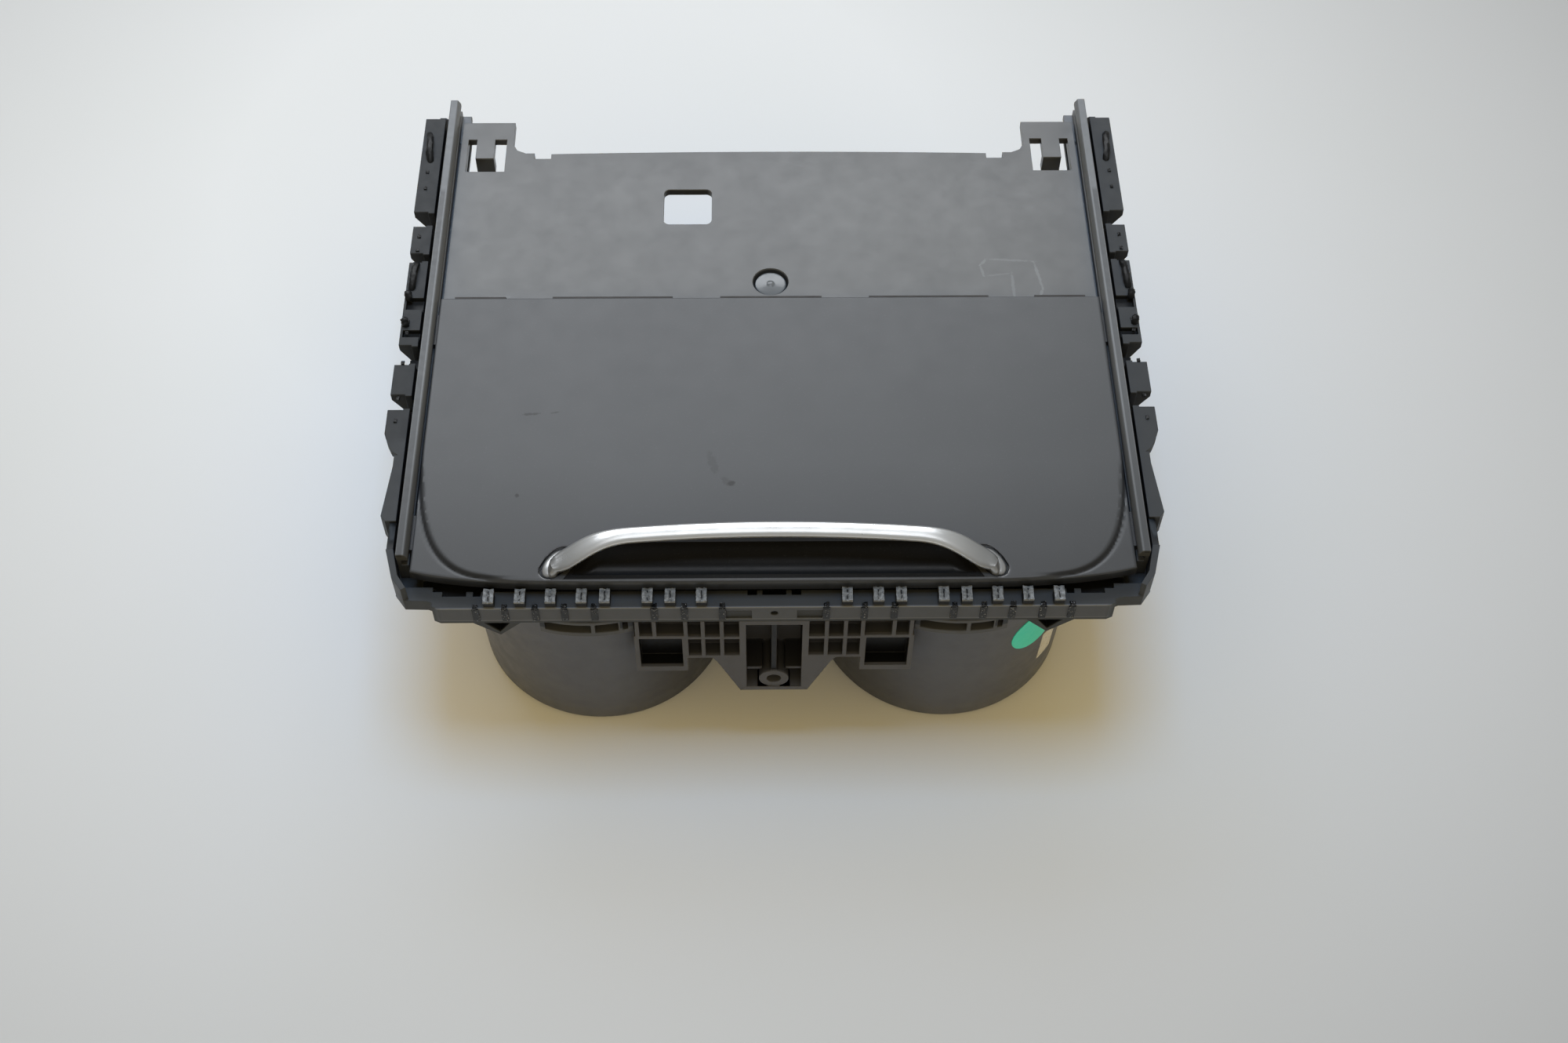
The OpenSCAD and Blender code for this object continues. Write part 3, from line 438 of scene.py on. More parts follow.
# the deck keeps the cups' painted shade
DECK = replace(CUP, name="deck_plastic", colour="#454648", patch="#4c4c4e")
BRACKET = Finish(
    "bracket_plastic", "#49494d", "#515154", "bracket_plastic", rough=0.4, rough_spread=0.1, specular=0.25,
    edge="#6a6763", edge_mm=0.25, edge_share=0.6,
    # painted shade in the bracket's pockets, its side cells and round the boss
    painted_light=(
        PaintedLight((0.0, -93.6, 53.0), (40.2, 5.2, 18.0), "#060606", 0.4),
        *painted_pair((33.3, -93.6, 52.3), (7.0, 5.2, 8.8), "#060606", 0.92),
        PaintedLight((0.0, -93.4, 54.0), (8.9, 5.6, 13.6), "#060606", 0.92),
    ),
)
COVER = CoverFinish(
    "cover_plastic", "#434446", "#48494b", "cover_plastic", rough=0.38, rough_spread=0.03, patch_mm=35,
    grain_mm=0.3, grain_depth=0.008, speck_and_glint="#6e7072", speck_and_glint_mm=0.45, speck_and_glint_share=0.10,
    # painted shade on the front lip's face, and darker towards the front edge
    painted_light=(
        PaintedLight((0.0, -93.0, 80.9), (105.0, 4.5, 1.6), "#0b0b0c", 0.85),
        PaintedLight((0.0, -104.0, 83.0), (300.0, 50.0, 30.0), "#1c1d1e", 0.65, full=0.0),
    ),
    marks=(
        Mark(-72.5, -34.8, 4.5, 0.7, 4.0, 0.75),
        Mark(-65.2, -34.2, 2.2, 0.5, 8.0, 0.6),
        Mark(-75.0, -65.0, 1.1, 1.1, 0.0, 0.9),
        Mark(-18.0, -53.5, 6.5, 2.0, -75.0, 0.28),
        Mark(-13.6, -60.2, 3.4, 1.6, -35.0, 0.35),
        Mark(-12.3, -61.0, 1.7, 1.1, 20.0, 0.9),
    ),
)
GLOSS = Finish(
    "gloss_black", "#171717", "#1c1b1c", "gloss_black", rough=0.34, rough_spread=0.05, grain_depth=0.001,
    specular=0.1, speck_and_glint="#4a4a4a", speck_and_glint_mm=0.5, speck_and_glint_share=0.12,
)
DISH = Finish(
    "dish_black", "#0e0e0e", "#151515", "gloss_black", rough=0.12, specular=0.9, grain_depth=0.001
)
SILVER = Finish(
    "satin_silver", "#f0f1f2", "#f4f5f5", "satin_silver", rough=0.3, rough_spread=0.04, metallic=0.86,
    grain_mm=0.25, grain_depth=0.003, patch_mm=25,
    # painted shade on the bow's legs, darker towards the feet
    painted_light=painted_pair((59.0, -90.0, 84.0), (13.0, 9.0, 8.0), "#5c5d5e", 0.85, full=0.0),
)
TORN = Finish(
    "torn_plastic", "#7b7d7f", "#515355", "frame_plastic", rough=0.32, rough_spread=0.15, grain_mm=0.4,
    grain_depth=0.06, patch_mm=0.9, patch_share=1.0, speck_and_glint="#b4b6b7", speck_and_glint_mm=0.4, speck_and_glint_share=0.3,
)
# the melted beads' light specks are painted glints
BEAD = Finish(
    "melted_plastic", "#0e0f10", "#1c1d1f", "frame_plastic", rough=0.16, rough_spread=0.08, grain_mm=0.7,
    grain_depth=0.05, patch_mm=1.5, specular=0.3, speck_and_glint="#b4b6b8", speck_and_glint_mm=0.45, speck_and_glint_share=0.6,
)
CLIP = Finish(
    "clip_plastic", "#0d0e0f", "#18191a", "frame_plastic", rough=0.4, grain_mm=0.7, grain_depth=0.06,
    specular=0.3, patch_mm=1.5,
)
STRIP = Finish("strip_felt", "#2b2726", "#3a3533", "pad_felt", rough=0.6, grain_mm=0.4, grain_depth=0.05)
# the gate disc has the panel's plastic in a lighter colour: painted sheen on its smoother surface
GATE = Finish(
    "gate_plastic", "#6c6e70", "#757779", "panel_plastic", rough=0.2, rough_spread=0.05, patch_mm=5,
    grain_depth=0.002,
)
GLIDE = Finish("glide_plastic", "#2a2a2b", "#313132", "glide_plastic", rough=0.35, grain_depth=0.004)
FELT = Finish("pad_felt", "#1d1d1d", "#262626", "pad_felt", rough=0.9, grain_mm=0.25, grain_depth=0.08)
MAT = Finish("mat_rubber", "#1a1a1b", "#222223", "mat_rubber", rough=0.7, grain_depth=0.02)
GRIP = Finish("grip_rubber", "#1d1d1e", "#262627", "grip_rubber", rough=0.6, grain_depth=0.02)
SPRING = Finish(
    "spring_steel", "#b9babc", "#a9abad", "spring_steel", rough=0.28, metallic=1.0, stretch=(1, 1, 0.1),
    patch_mm=2, grain_depth=0.003,
)
SCREW = Finish(
    "screw_steel", "#606265", "#4d4f52", "screw_steel", rough=0.38, metallic=1.0, patch_mm=3,
    grain_depth=0.006,
)
GREEN = Finish(
    "green_film", "#34dac4", "#4be0c8", "green_film", rough=0.4, patch_mm=6, grain_depth=0.004,
    wave_mm=5, wave_depth=0.12,
)
WHITE = Finish(
    "white_film", "#cfcabd", "#c2bcae", "white_film", rough=0.55, patch_mm=5, grain_depth=0.01,
    speck_and_glint="#55534e", speck_and_glint_mm=0.9, speck_and_glint_share=0.7,
)


# Meshes


def add_object(name: str, data: bpy.types.ID) -> bpy.types.Object:
    """New object in the scene's collection."""
    added = bpy.data.objects.new(name, data)
    bpy.context.collection.objects.link(added)
    return added


@contextmanager
def edited(mesh: bpy.types.Mesh) -> Iterator[bmesh.types.BMesh]:
    """Working copy of a mesh, which is written back at the end."""
    work = bmesh.new()
    work.from_mesh(mesh)
    yield work
    work.to_mesh(mesh)
    work.free()


def mesh_object(name: str, points: Sequence[Point], faces: Iterable[Sequence[int]],
                smooth: float = 35.0) -> bpy.types.Object:
    """Makes an object from points in millimetres.

    Args:
        name: the object's name.
        points: corner points in millimetres.
        faces: corner indices of each face.
        smooth: largest angle in degrees between faces that shade as one surface.

    Returns:
        The object, with outward normals.
    """
    mesh = bpy.data.meshes.new(name)
    mesh.from_pydata([metres(p) for p in points], [], [tuple(f) for f in faces])
    mesh.update()
    piece = add_object(name, mesh)
    tidy_normals(mesh, smooth)
    return piece


def tidy_normals(mesh: bpy.types.Mesh, smooth: float) -> None:
    """Turns the normals outward and shades faces smooth up to an angle in degrees."""
    limit = math.radians(smooth)
    with edited(mesh) as work:
        bmesh.ops.recalc_face_normals(work, faces=work.faces)
        for face in work.faces:
            face.smooth = True
        for edge in work.edges:
            edge.smooth = len(edge.link_faces) == 2 and edge.calc_face_angle(0.0) < limit


def face_up(piece: bpy.types.Object) -> None:
    """Turns an open sheet over if it faces down."""
    if sum(p.normal.z * p.area for p in piece.data.polygons) < 0:
        piece.data.flip_normals()


def evaluated(piece: bpy.types.Object) -> bpy.types.Object:
    """Turns an object's modifiers into its plain mesh and drops them."""
    bpy.context.view_layer.update()
    graph = bpy.context.evaluated_depsgraph_get()
    mesh = bpy.data.meshes.new_from_object(piece.evaluated_get(graph), depsgraph=graph)
    piece.modifiers.clear()
    piece.data = mesh
    return piece


def finish_piece(piece: bpy.types.Object, finish: Finish, body: str, *nodes: str) -> bpy.types.Object:
    """Gives a piece its finish and body, and puts it in the place of CAD nodes.

    Args:
        piece: the piece.
        finish: its finish.
        body: the body it moves with.
        nodes: CAD nodes that it stands for.

    Returns:
        The piece.
    """
    if not piece.data.materials:
        piece.data.materials.append(finish.build())
    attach(piece, body)
    if nodes:
        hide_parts(*nodes)
    log.info("%s: %d faces on %s", piece.name, len(piece.data.polygons), body)
    return piece


def bevelled(node: str, name: str, width: float) -> bpy.types.Object:
    """Copy of a CAD node with its loose triangles joined and its edges rounded.

    Args:
        node: the CAD node.
        name: the new piece's name.
        width: width of the rounded edges in millimetres, or 0 to leave the rounding to the finish.

    Returns:
        The piece.
    """
    turn = 30.0  # degrees: edges that turn more are rounded, the others are shaded smooth
    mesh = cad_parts[node].data.copy()
    mesh.materials.clear()
    piece = add_object(name, mesh)
    with edited(mesh) as work:
        bmesh.ops.remove_doubles(work, verts=work.verts, dist=0.004 * MM)
        bmesh.ops.dissolve_degenerate(work, edges=work.edges, dist=0.002 * MM)
    tidy_normals(mesh, turn)
    if not width:
        return piece
    bevel = piece.modifiers.new("edges", "BEVEL")
    bevel.width = width * MM
    bevel.segments = 2
    bevel.limit_method = "ANGLE"
    bevel.angle_limit = math.radians(turn)
    bevel.use_clamp_overlap = False
    bevel.harden_normals = True
    return evaluated(piece)


def superoval(step: int, steps: int, power: float = 1.0) -> tuple[float, float]:
    """Point on an oval of half width 1; a power under 1 makes it squarer."""
    angle = 2 * math.pi * step / steps
    u, v = math.cos(angle), math.sin(angle)
    return math.copysign(abs(u) ** power, u), math.copysign(abs(v) ** power, v)


def strip_faces(rings: int, sides: int, closed: bool = True) -> list[tuple[int, int, int, int]]:
    """Quads between rings of points that follow each other."""
    last = sides if closed else sides - 1
    return [
        (i * sides + k, i * sides + (k + 1) % sides, (i + 1) * sides + (k + 1) % sides, (i + 1) * sides + k)
        for i in range(rings - 1) for k in range(last)
    ]


def sweep(name: str, path: Sequence[Vector], ring: Callable[[float], Sequence[tuple[float, float]]],
          across: Vector) -> bpy.types.Object:
    """Sweeps a section along a path.

    Args:
        name: the piece's name.
        path: points of the middle line in millimetres.
        ring: section points (across, up) at a share of the way along.
        across: direction that the section's first axis keeps to.

    Returns:
        The piece, closed at both ends.
    """
    points, sides = [], len(ring(0.0))
    for i, at in enumerate(path):
        along = (path[min(i + 1, len(path) - 1)] - path[max(i - 1, 0)]).normalized()
        wide = (across - along * across.dot(along)).normalized()
        up = along.cross(wide)
        points += [tuple(at + wide * u + up * v) for u, v in ring(i / (len(path) - 1))]
    faces = strip_faces(len(path), sides)
    faces.append(tuple(range(sides)))
    faces.append(tuple(range(len(points) - sides, len(points))))
    return mesh_object(name, points, faces)


def spread(start: float, end: float, step: float) -> list[float]:
    """Evenly spaced values from start up to, but without, end."""
    count = max(1, round(abs(end - start) / step))
    return [start + (end - start) * i / count for i in range(count)]


def smoothstep(low: float, high: float, value: float) -> float:
    """0 below low, 1 above high, smooth between."""
    share = min(1.0, max(0.0, (value - low) / (high - low)))
    return share * share * (3 - 2 * share)


# Cover


@dataclass
class Cover:
    """The sliding cover: a bowed panel with a raised field, a finger scoop and a bow handle.

    Lengths are in millimetres. The hole for the scoop starts and ends so far behind the front edge,
    and two half widths are those at its front and at its rear. The lip hangs down along the front
    edge. The corner is the width and depth of the raised field's corner, and the groove round the
    field has a depth and a width.
    """

    half: float = 104.0
    front: float = -95.3
    length: float = 106.8
    under: float = 81.8
    border_top: float = 83.0
    top: float = 83.9
    front_bow: float = 4.5
    rim_round: float = 0.5
    field_inset: float = 2.0
    field_wider: float = 1.2
    groove: tuple[float, float] = (0.25, 0.45)
    corner: tuple[float, float] = (29.0, 54.0)
    lip: float = 1.8
    lip_low: float = 79.6
    hole: tuple[float, float] = (1.04, 14.96)
    hole_half: tuple[float, float] = (59.9, 51.8)
    scoop_r: float = 5.8
    scoop_y: float = -87.3
    scoop_z: float = 85.3
    scoop_half: tuple[float, float] = (59.1, 50.0)
    scoop_slant: float = 8.0
    scoop_sunk: float = 0.06
    scoop_rim: float = 1.3
    scoop_end: float = 4.0
    scoop_wall: float = 1.2
    foot: tuple[float, float] = (62.3, -88.7)
    foot_size: tuple[float, float] = (6.2, 3.5)
    foot_turn: float = -55.0
    foot_power: float = 2.4
    foot_drop: float = 0.85
    bow_flat: float = 40.0
    bow_y: float = -82.9
    bow_z: float = 91.64
    bow_curve: float = 1.7
    bow_size: tuple[float, float] = (2.45, 1.5)

    def bowed(self, x: float) -> float:
        """How far the front edge lies back at an x."""
        return self.front_bow * (abs(x) / self.half) ** 6

    def edge(self, x: float) -> float:
        """Y of the front edge, bowed back towards the sides."""
        return self.front + self.bowed(x)

    def field_depth(self, x: float, y: float) -> float:
        """Distance inside the raised field's outline, in millimetres; less than 0 outside it."""
        across = (abs(x) - self.half + self.corner[0]) / self.corner[0]
        along = (self.front + self.field_inset + self.corner[1] - y) / self.corner[1]
        if along <= 0:
            return (1 - across) * self.corner[0] + self.field_wider
        if across <= 0:
            return (1 - along) * self.corner[1]
        reach = (across ** 3 + along ** 3) ** (1 / 3)
        slope = math.hypot(across ** 2 / self.corner[0], along ** 2 / self.corner[1]) / reach ** 2
        return (1 - reach) / slope + self.field_wider * smoothstep(0.4, 0.0, along)

    def foot_reach(self, x: float, y: float) -> float:
        """Share of the way out to the rim of the nearer oval foot hole."""
        turn = math.radians(self.foot_turn) * (1 if x > 0 else -1)
        dx, dy = abs(x) - self.foot[0], y - self.foot[1]
        dx = dx if x > 0 else -dx
        u = dx * math.cos(turn) + dy * math.sin(turn)
        v = -dx * math.sin(turn) + dy * math.cos(turn)
        total = sum((abs(c) / size) ** self.foot_power for c, size in zip((u, v), self.foot_size))
        return total ** (1 / self.foot_power)

    def height(self, x: float, y: float) -> float:
        """Z of the top at a point."""
        # towards the middle of the front the field runs on to the edge
        depth = self.field_depth(x, y) + 2.6 * smoothstep(84, 70, abs(x)) * smoothstep(-60, -75, y)
        z = self.border_top + (self.top - self.border_top) * smoothstep(-0.45, 0.75, depth)
        z -= self.groove[0] * math.exp(-((depth + 0.5) / self.groove[1]) ** 2)
        inset = min(self.half - abs(x), y - self.edge(x))
        if inset < self.rim_round:
            z -= self.rim_round - math.sqrt(max(0.0, self.rim_round ** 2 - (self.rim_round - inset) ** 2))
        rear = self.front + self.length - y
        chamfer = 0.2
        if rear < chamfer:
            z -= 0.12 * (1 - rear / chamfer)
        z -= self.foot_drop * (1 - smoothstep(0.86, 1.0, self.foot_reach(x, y)))
        return z

    def panel(self) -> bpy.types.Object:
        """Builds the panel with its scoop hole and front lip."""
        # rows of points from the front edge back; the columns follow the sides of the scoop hole
        edge_steps = [0.0, 0.07, 0.2, self.rim_round]
        outer = edge_steps + spread(1.0, 29.0, 0.7) + spread(29.0, 46.0, 0.4) + [46.0]
        rows = edge_steps + [self.hole[0]] + spread(self.hole[0] + 0.4, self.hole[1], 0.4) + [self.hole[1]]
        rows += spread(self.hole[1] + 0.4, 60.0, 0.7) + spread(60.0, self.length - 0.5, 2.2)
        rows += [self.length - s for s in reversed(edge_steps)]
        # shares of the way across the hole
        middle = [0.0, 0.004, 0.014] + spread(0.03, 0.97, 0.03) + [0.97, 0.986, 0.996, 1.0]
        split = len(outer)
        tops, lows = [], []
        for t in rows:
            way = min(1.0, max(0.0, (t - self.hole[0]) / (self.hole[1] - self.hole[0])))
            h = self.hole_half[0] + (self.hole_half[1] - self.hole_half[0]) * way
            scale = (self.half - h) / outer[-1]
            left = [-self.half + s * (scale if s > 1 else 1) for s in outer]
            left[-1] = -h
            xs = left + [-h + 2 * h * m for m in middle[1:-1]] + [-x for x in reversed(left)]
            for x in xs:
                y = self.front + t + self.bowed(x) * (1 - t / self.length)
                if abs(x) <= h + 1e-6 and self.hole[0] <= t <= self.hole[1]:
                    y = self.front + t
                tops.append((x, y, self.height(x, y)))
                lows.append((x, y, self.lip_low if y - self.edge(x) < self.lip else self.under))
        sides = len(tops) // len(rows)
        first, last = rows.index(self.hole[0]), rows.index(self.hole[1])
        quads = []
        for j in range(len(rows) - 1):
            for k in range(sides - 1):
                if first <= j < last and split - 1 <= k < split - 1 + len(middle) - 1:
                    continue
                a = j * sides + k
                quads.append((a, a + 1, a + 1 + sides, a + sides))
        # an edge that only one quad has gets a wall down to the underside
        seen: dict[tuple[int, int], int] = {}
        for quad in quads:
            for a, b in zip(quad, quad[1:] + quad[:1]):
                key = (min(a, b), max(a, b))
                seen[key] = seen.get(key, 0) + 1
        n = len(tops)
        walls = [(a, b, b + n, a + n) for (a, b), count in seen.items() if count == 1]
        faces = quads + [tuple(i + n for i in reversed(q)) for q in quads] + walls
        piece = mesh_object("cover_panel_top", tops + lows, faces, 40.0)
        with edited(piece.data) as work:
            loose = [v for v in work.verts if not v.link_faces]
            bmesh.ops.delete(work, geom=loose, context="VERTS")
        return piece

    def scoop(self) -> bpy.types.Object:
        """Builds the black finger scoop as a thin shell."""
        turn = math.acos((self.scoop_z - self.top) / self.scoop_r)
        rim, end = self.scoop_rim, self.scoop_end
        arc = [self.scoop_y - self.scoop_r * math.sin(turn * (1 - i / 24)) for i in range(49)]
        lines = [arc[0] - rim, arc[0] - 0.25, *arc, arc[-1] + 0.25, arc[-1] + rim]
        ends = [0.0, 1.1, rim] + [rim + end * (1 - math.cos(math.radians(i * 6))) for i in range(1, 16)]
        points = []
        for y in lines:
            way = (y - self.scoop_y + self.scoop_slant) / (2 * self.scoop_slant)
            h = self.scoop_half[0] + (self.scoop_half[1] - self.scoop_half[0]) * way + rim
            left = [-h + e for e in ends]
            xs = left + [left[-1] * (1 - i / 12) for i in range(1, 24)] + [-x for x in reversed(left)]
            for x in xs:
                inset = h - rim - abs(x)
                deep = 0.0
                if abs(y - self.scoop_y) < self.scoop_r * math.sin(turn) and inset > 0:
                    low = math.sqrt(self.scoop_r ** 2 - (y - self.scoop_y) ** 2)
                    near = min(inset, end) / end
                    deep = (low - (self.scoop_z - self.top)) * math.sqrt(max(0.0, 1 - (1 - near) ** 2))
                points.append((x, y, self.top - self.scoop_sunk - deep))
        sides = len(points) // len(lines)
        piece = mesh_object("handle_scoop_shell", points, strip_faces(len(lines), sides, False), 50.0)
        face_up(piece)
        thick = piece.modifiers.new("shell", "SOLIDIFY")
        thick.thickness = self.scoop_wall * MM
        thick.offset = -1.0
        return evaluated(piece)

    def bow_path(self) -> list[Vector]:
        """Middle line of the bow: level over its middle, then down to its feet."""
        leg = [
            Vector((self.bow_flat, self.bow_y - self.bow_curve, self.bow_z)),
            Vector((self.bow_flat + 12, self.bow_y - 2.6, self.bow_z + 0.2)),
            Vector((self.foot[0] - 7.2, self.foot[1] + 1.2, self.bow_z - 4.6)),
            Vector((self.foot[0] + 0.1, self.foot[1] - 1.9, self.border_top + self.bow_size[0])),
        ]
        path = []
        for i in range(1, 37):
            t = i / 36  # along a Bezier curve with the leg's four points
            weights = ((1 - t) ** 3, 3 * t * (1 - t) ** 2, 3 * t * t * (1 - t), t ** 3)
            path.append(sum((p * w for p, w in zip(leg, weights)), Vector()))
        for sink in (Vector((0.5, -0.5, -1.2)), Vector((0.2, -0.2, -1.4))):
            path.append(path[-1] + sink)
        level = []
        for i in range(-20, 21):
            x = self.bow_flat * i / 20
            level.append(Vector((x, self.bow_y - self.bow_curve * (i / 20) ** 2, self.bow_z)))
        return [Vector((-p.x, p.y, p.z)) for p in reversed(path)] + level + path

    def bow_ring(self, share: float) -> list[tuple[float, float]]:
        """Rounded section of the bow with a fine crease along its rear upper side."""
        ring = []
        # the legs are broader than the middle, and narrow again at the feet
        end = min(share, 1 - share)
        broad = (1 + 0.42 * smoothstep(0.33, 0.12, end)) * (1 - 0.3 * smoothstep(0.07, 0.0, end))
        for k in range(ROUND):
            u, v = superoval(k, ROUND, 0.8)
            crease = 1 - 0.07 * math.exp(-((2 * math.pi * k / ROUND - math.radians(72)) / 0.09) ** 2)
            ring.append((u * self.bow_size[0] * broad * crease, v * self.bow_size[1] * crease))
        return ring

    def foot_oval(self, side: Side, reach: float, z: float, power: float = 1.0) -> list[Point]:
        """Ring of points round a foot of the bow, at a share of the foot hole's size."""
        turn = math.radians(self.foot_turn) * side.value
        ring = []
        for k in range(ROUND):
            u, v = (c * size * reach for c, size in zip(superoval(k, ROUND, power), self.foot_size))
            x = side.value * self.foot[0] + u * math.cos(turn) - v * math.sin(turn)
            ring.append((x, self.foot[1] + u * math.sin(turn) + v * math.cos(turn), z))
        return ring

    def foot_dish(self, side: Side) -> bpy.types.Object:
        """Builds the glossy oval dish round a foot of the bow."""
        points = []
        for reach, rise in ((1.02, -0.01), (0.97, -0.03), (0.94, -0.33), (0.9, -0.83), (0.7, -0.83)):
            points += self.foot_oval(side, reach, self.top + rise, 2 / self.foot_power)
        faces = strip_faces(len(points) // ROUND, ROUND)
        faces.append(tuple(range(len(points) - ROUND, len(points))))
        piece = mesh_object(f"{side.name.lower()}_foot_dish", points, faces, 60.0)
        face_up(piece)
        return piece

    def foot_plate(self, side: Side) -> bpy.types.Object:
        """Builds the satin oval plate that the bow's leg grows out of."""
        points = []
        rings = ((0.85, -0.85), (0.85, -0.3), (0.8, 0.0), (0.7, 0.25), (0.5, 0.45), (0.25, 0.55))
        for reach, rise in rings:
            points += self.foot_oval(side, reach, self.top + rise)
        faces = strip_faces(len(points) // ROUND, ROUND)
        faces += [tuple(range(ROUND)), tuple(range(len(points) - ROUND, len(points)))]
        return mesh_object(f"{side.name.lower()}_foot_plate", points, faces, 60.0)

    def rear_strips(self) -> bpy.types.Object:
        """Builds the thin dark strips along the rear edge."""
        section = ((11.2, 80.6), (12.5, 80.6), (12.6, 83.3), (12.2, 83.8), (11.2, 83.8))
        sides = len(section)
        points, faces = [], []
        for x0, x1 in ((-99.5, -83.5), (-68.8, -31.0), (-16.0, 16.0), (31.0, 68.8), (83.5, 99.5)):
            base = len(points)
            points += [(x, y, z) for x in (x0, x1) for y, z in section]
            ends = [tuple(range(sides)), tuple(range(sides, 2 * sides))]
            faces += [tuple(base + i for i in face) for face in strip_faces(2, sides) + ends]
        return mesh_object("cover_rear_strips", points, faces, 30.0)

    def build(self) -> None:
        """Builds the cover and gives each piece its finish."""
        finish_piece(self.rear_strips(), STRIP, "cover")
        finish_piece(self.panel(), COVER, "cover", "cover_panel")
        finish_piece(self.scoop(), GLOSS, "cover", "handle_scoop")
        bow = sweep("handle_bow_band", self.bow_path(), self.bow_ring, Vector((0, 1, 0)))
        finish_piece(bow, SILVER, "cover", "handle_bow")
        for side in Side:
            finish_piece(self.foot_dish(side), DISH, "cover")
            finish_piece(self.foot_plate(side), SILVER, "cover")


# Repeats made with Geometry Nodes


@dataclass
class Repeat:
    """A small rough shape repeated at points: torn weld crowns, melted beads and weld dots.

    Lengths are in millimetres: rough_mm is the size of a tear and rough_depth its depth. The tears
    and the groove along the middle get deeper towards the top. It is built of cubes with so many
    cells a side.
    """

    name: str
    finish: Finish
    points: Sequence[Point]
    size: Point
    rough_mm: float
    rough_depth: float
    groove: float = 0.0
    seed: int = 1
    cells: int = 12

    def tree(self) -> tuple[Tree, dict[str, object]]:
        """Builds the node tree.

        Returns:
            The tree, and the value of each of its named inputs.
        """
        tree = bpy.data.node_groups.new(f"{self.name}_rule", "GeometryNodeTree")
        inputs = {
            "Size": ("NodeSocketVector", metres(self.size)),
            "Tear Size": ("NodeSocketFloat", 1 / (self.rough_mm * MM)),
            "Tear Depth": ("NodeSocketFloat", self.rough_depth * MM),
            "Groove Depth": ("NodeSocketFloat", self.groove * MM),
            "Seed": ("NodeSocketInt", self.seed),
            "Finish": ("NodeSocketMaterial", self.finish.build()),
        }
        tree.interface.new_socket("Geometry", in_out="INPUT", socket_type="NodeSocketGeometry")
        for name, (kind, _) in inputs.items():
            tree.interface.new_socket(name, in_out="INPUT", socket_type=kind)
        tree.interface.new_socket("Geometry", in_out="OUTPUT", socket_type="NodeSocketGeometry")
        given = tree.nodes.new("NodeGroupInput").outputs
        counts = {f"Vertices_{axis}": self.cells for axis in "XYZ"}
        cube = add_node(tree, "GeometryNodeMeshCube", Size=(1.0, 1.0, 1.0), **counts)
        # the place in the unit cube is kept, because the placed copies no longer have it
        local = add_node(tree, "GeometryNodeInputPosition").outputs[0]
        kept = add_node(
            tree, "GeometryNodeStoreNamedAttribute", {"data_type": "FLOAT_VECTOR", "domain": "POINT"},
            Geometry=cube.outputs["Mesh"], Name="local", i3=local,
        ).outputs[0]
        placed = add_node(
            tree, "GeometryNodeInstanceOnPoints", Points=given["Geometry"], Instance=kept,
            Scale=given["Size"],
        ).outputs[0]
        real = add_node(tree, "GeometryNodeRealizeInstances", Geometry=placed).outputs[0]
        own = add_node(
            tree, "GeometryNodeInputNamedAttribute", {"data_type": "FLOAT_VECTOR"}, Name="local"
        ).outputs[0]
        shift = self._shift(tree, given, own)
        moved = add_node(tree, "GeometryNodeSetPosition", Geometry=real, Offset=shift).outputs[0]
        dressed = add_node(
            tree, "GeometryNodeSetMaterial", Geometry=moved, Material=given["Finish"]
        ).outputs[0]
        end = tree.nodes.new("NodeGroupOutput")
        tree.links.new(dressed, end.inputs["Geometry"])
        return tree, {name: value for name, (_, value) in inputs.items()}

    @staticmethod
    def _shift(tree: Tree, given: bpy.types.NodeOutputs, own: Socket) -> Socket:
        """How far each point moves: torn in any direction, and down into the groove.

        Args:
            tree: the node tree.
            given: the sockets of its named inputs.
            own: the point's place in the unit cube.

        Returns:
            The shift in metres.
        """
        parts = add_node(tree, "ShaderNodeSeparateXYZ", i0=own).outputs
        upper = ramp(tree, parts[2], -0.2, 0.5, 0.0, 1.0, smooth=False)
        world = add_node(tree, "GeometryNodeInputPosition").outputs[0]
        tear = add_node(
            tree, "ShaderNodeTexNoise", {"noise_dimensions": "4D"}, Vector=world, W=given["Seed"],
            Scale=given["Tear Size"], Detail=3.0, Roughness=0.7,
        ).outputs["Color"]
        centred = vector_maths(tree, "SUBTRACT", tear, (0.5, 0.5, 0.5))
        depth = maths(tree, "MULTIPLY", given["Tear Depth"], upper)
        torn = add_node(
            tree, "ShaderNodeVectorMath", {"operation": "SCALE"}, i0=centred, Scale=depth
        ).outputs[0]
        dip = ramp(tree, maths(tree, "ABSOLUTE", parts[0]), 0.06, 0.2, 1.0, 0.0)
        drop = maths(tree, "MULTIPLY", maths(tree, "MULTIPLY", dip, upper), given["Groove Depth"])
        down = add_node(tree, "ShaderNodeCombineXYZ", Z=maths(tree, "MULTIPLY", drop, -1.0)).outputs[0]
        return vector_maths(tree, "ADD", torn, down)

    def build(self, body: str) -> bpy.types.Object:
        """Builds the repeated pieces as one plain mesh.

        Args:
            body: the body that they move with.

        Returns:
            The piece.
        """
        mesh = bpy.data.meshes.new(self.name)
        mesh.from_pydata([metres(p) for p in self.points], [], [])
        piece = add_object(self.name, mesh)
        tree, values = self.tree()
        rule = piece.modifiers.new("rule", "NODES")
        rule.node_group = tree
        for item in tree.interface.items_tree:
            if item.in_out == "INPUT" and item.name in values:
                rule[item.identifier] = values[item.name]
        evaluated(piece)
        tidy_normals(piece.data, 55.0)
        return finish_piece(piece, self.finish, body)


def both(points: Iterable[Point]) -> list[Point]:
    """Points and their mirror images across the middle."""
    return [(s * x, y, z) for x, y, z in points for s in (-1, 1)]


# Frame


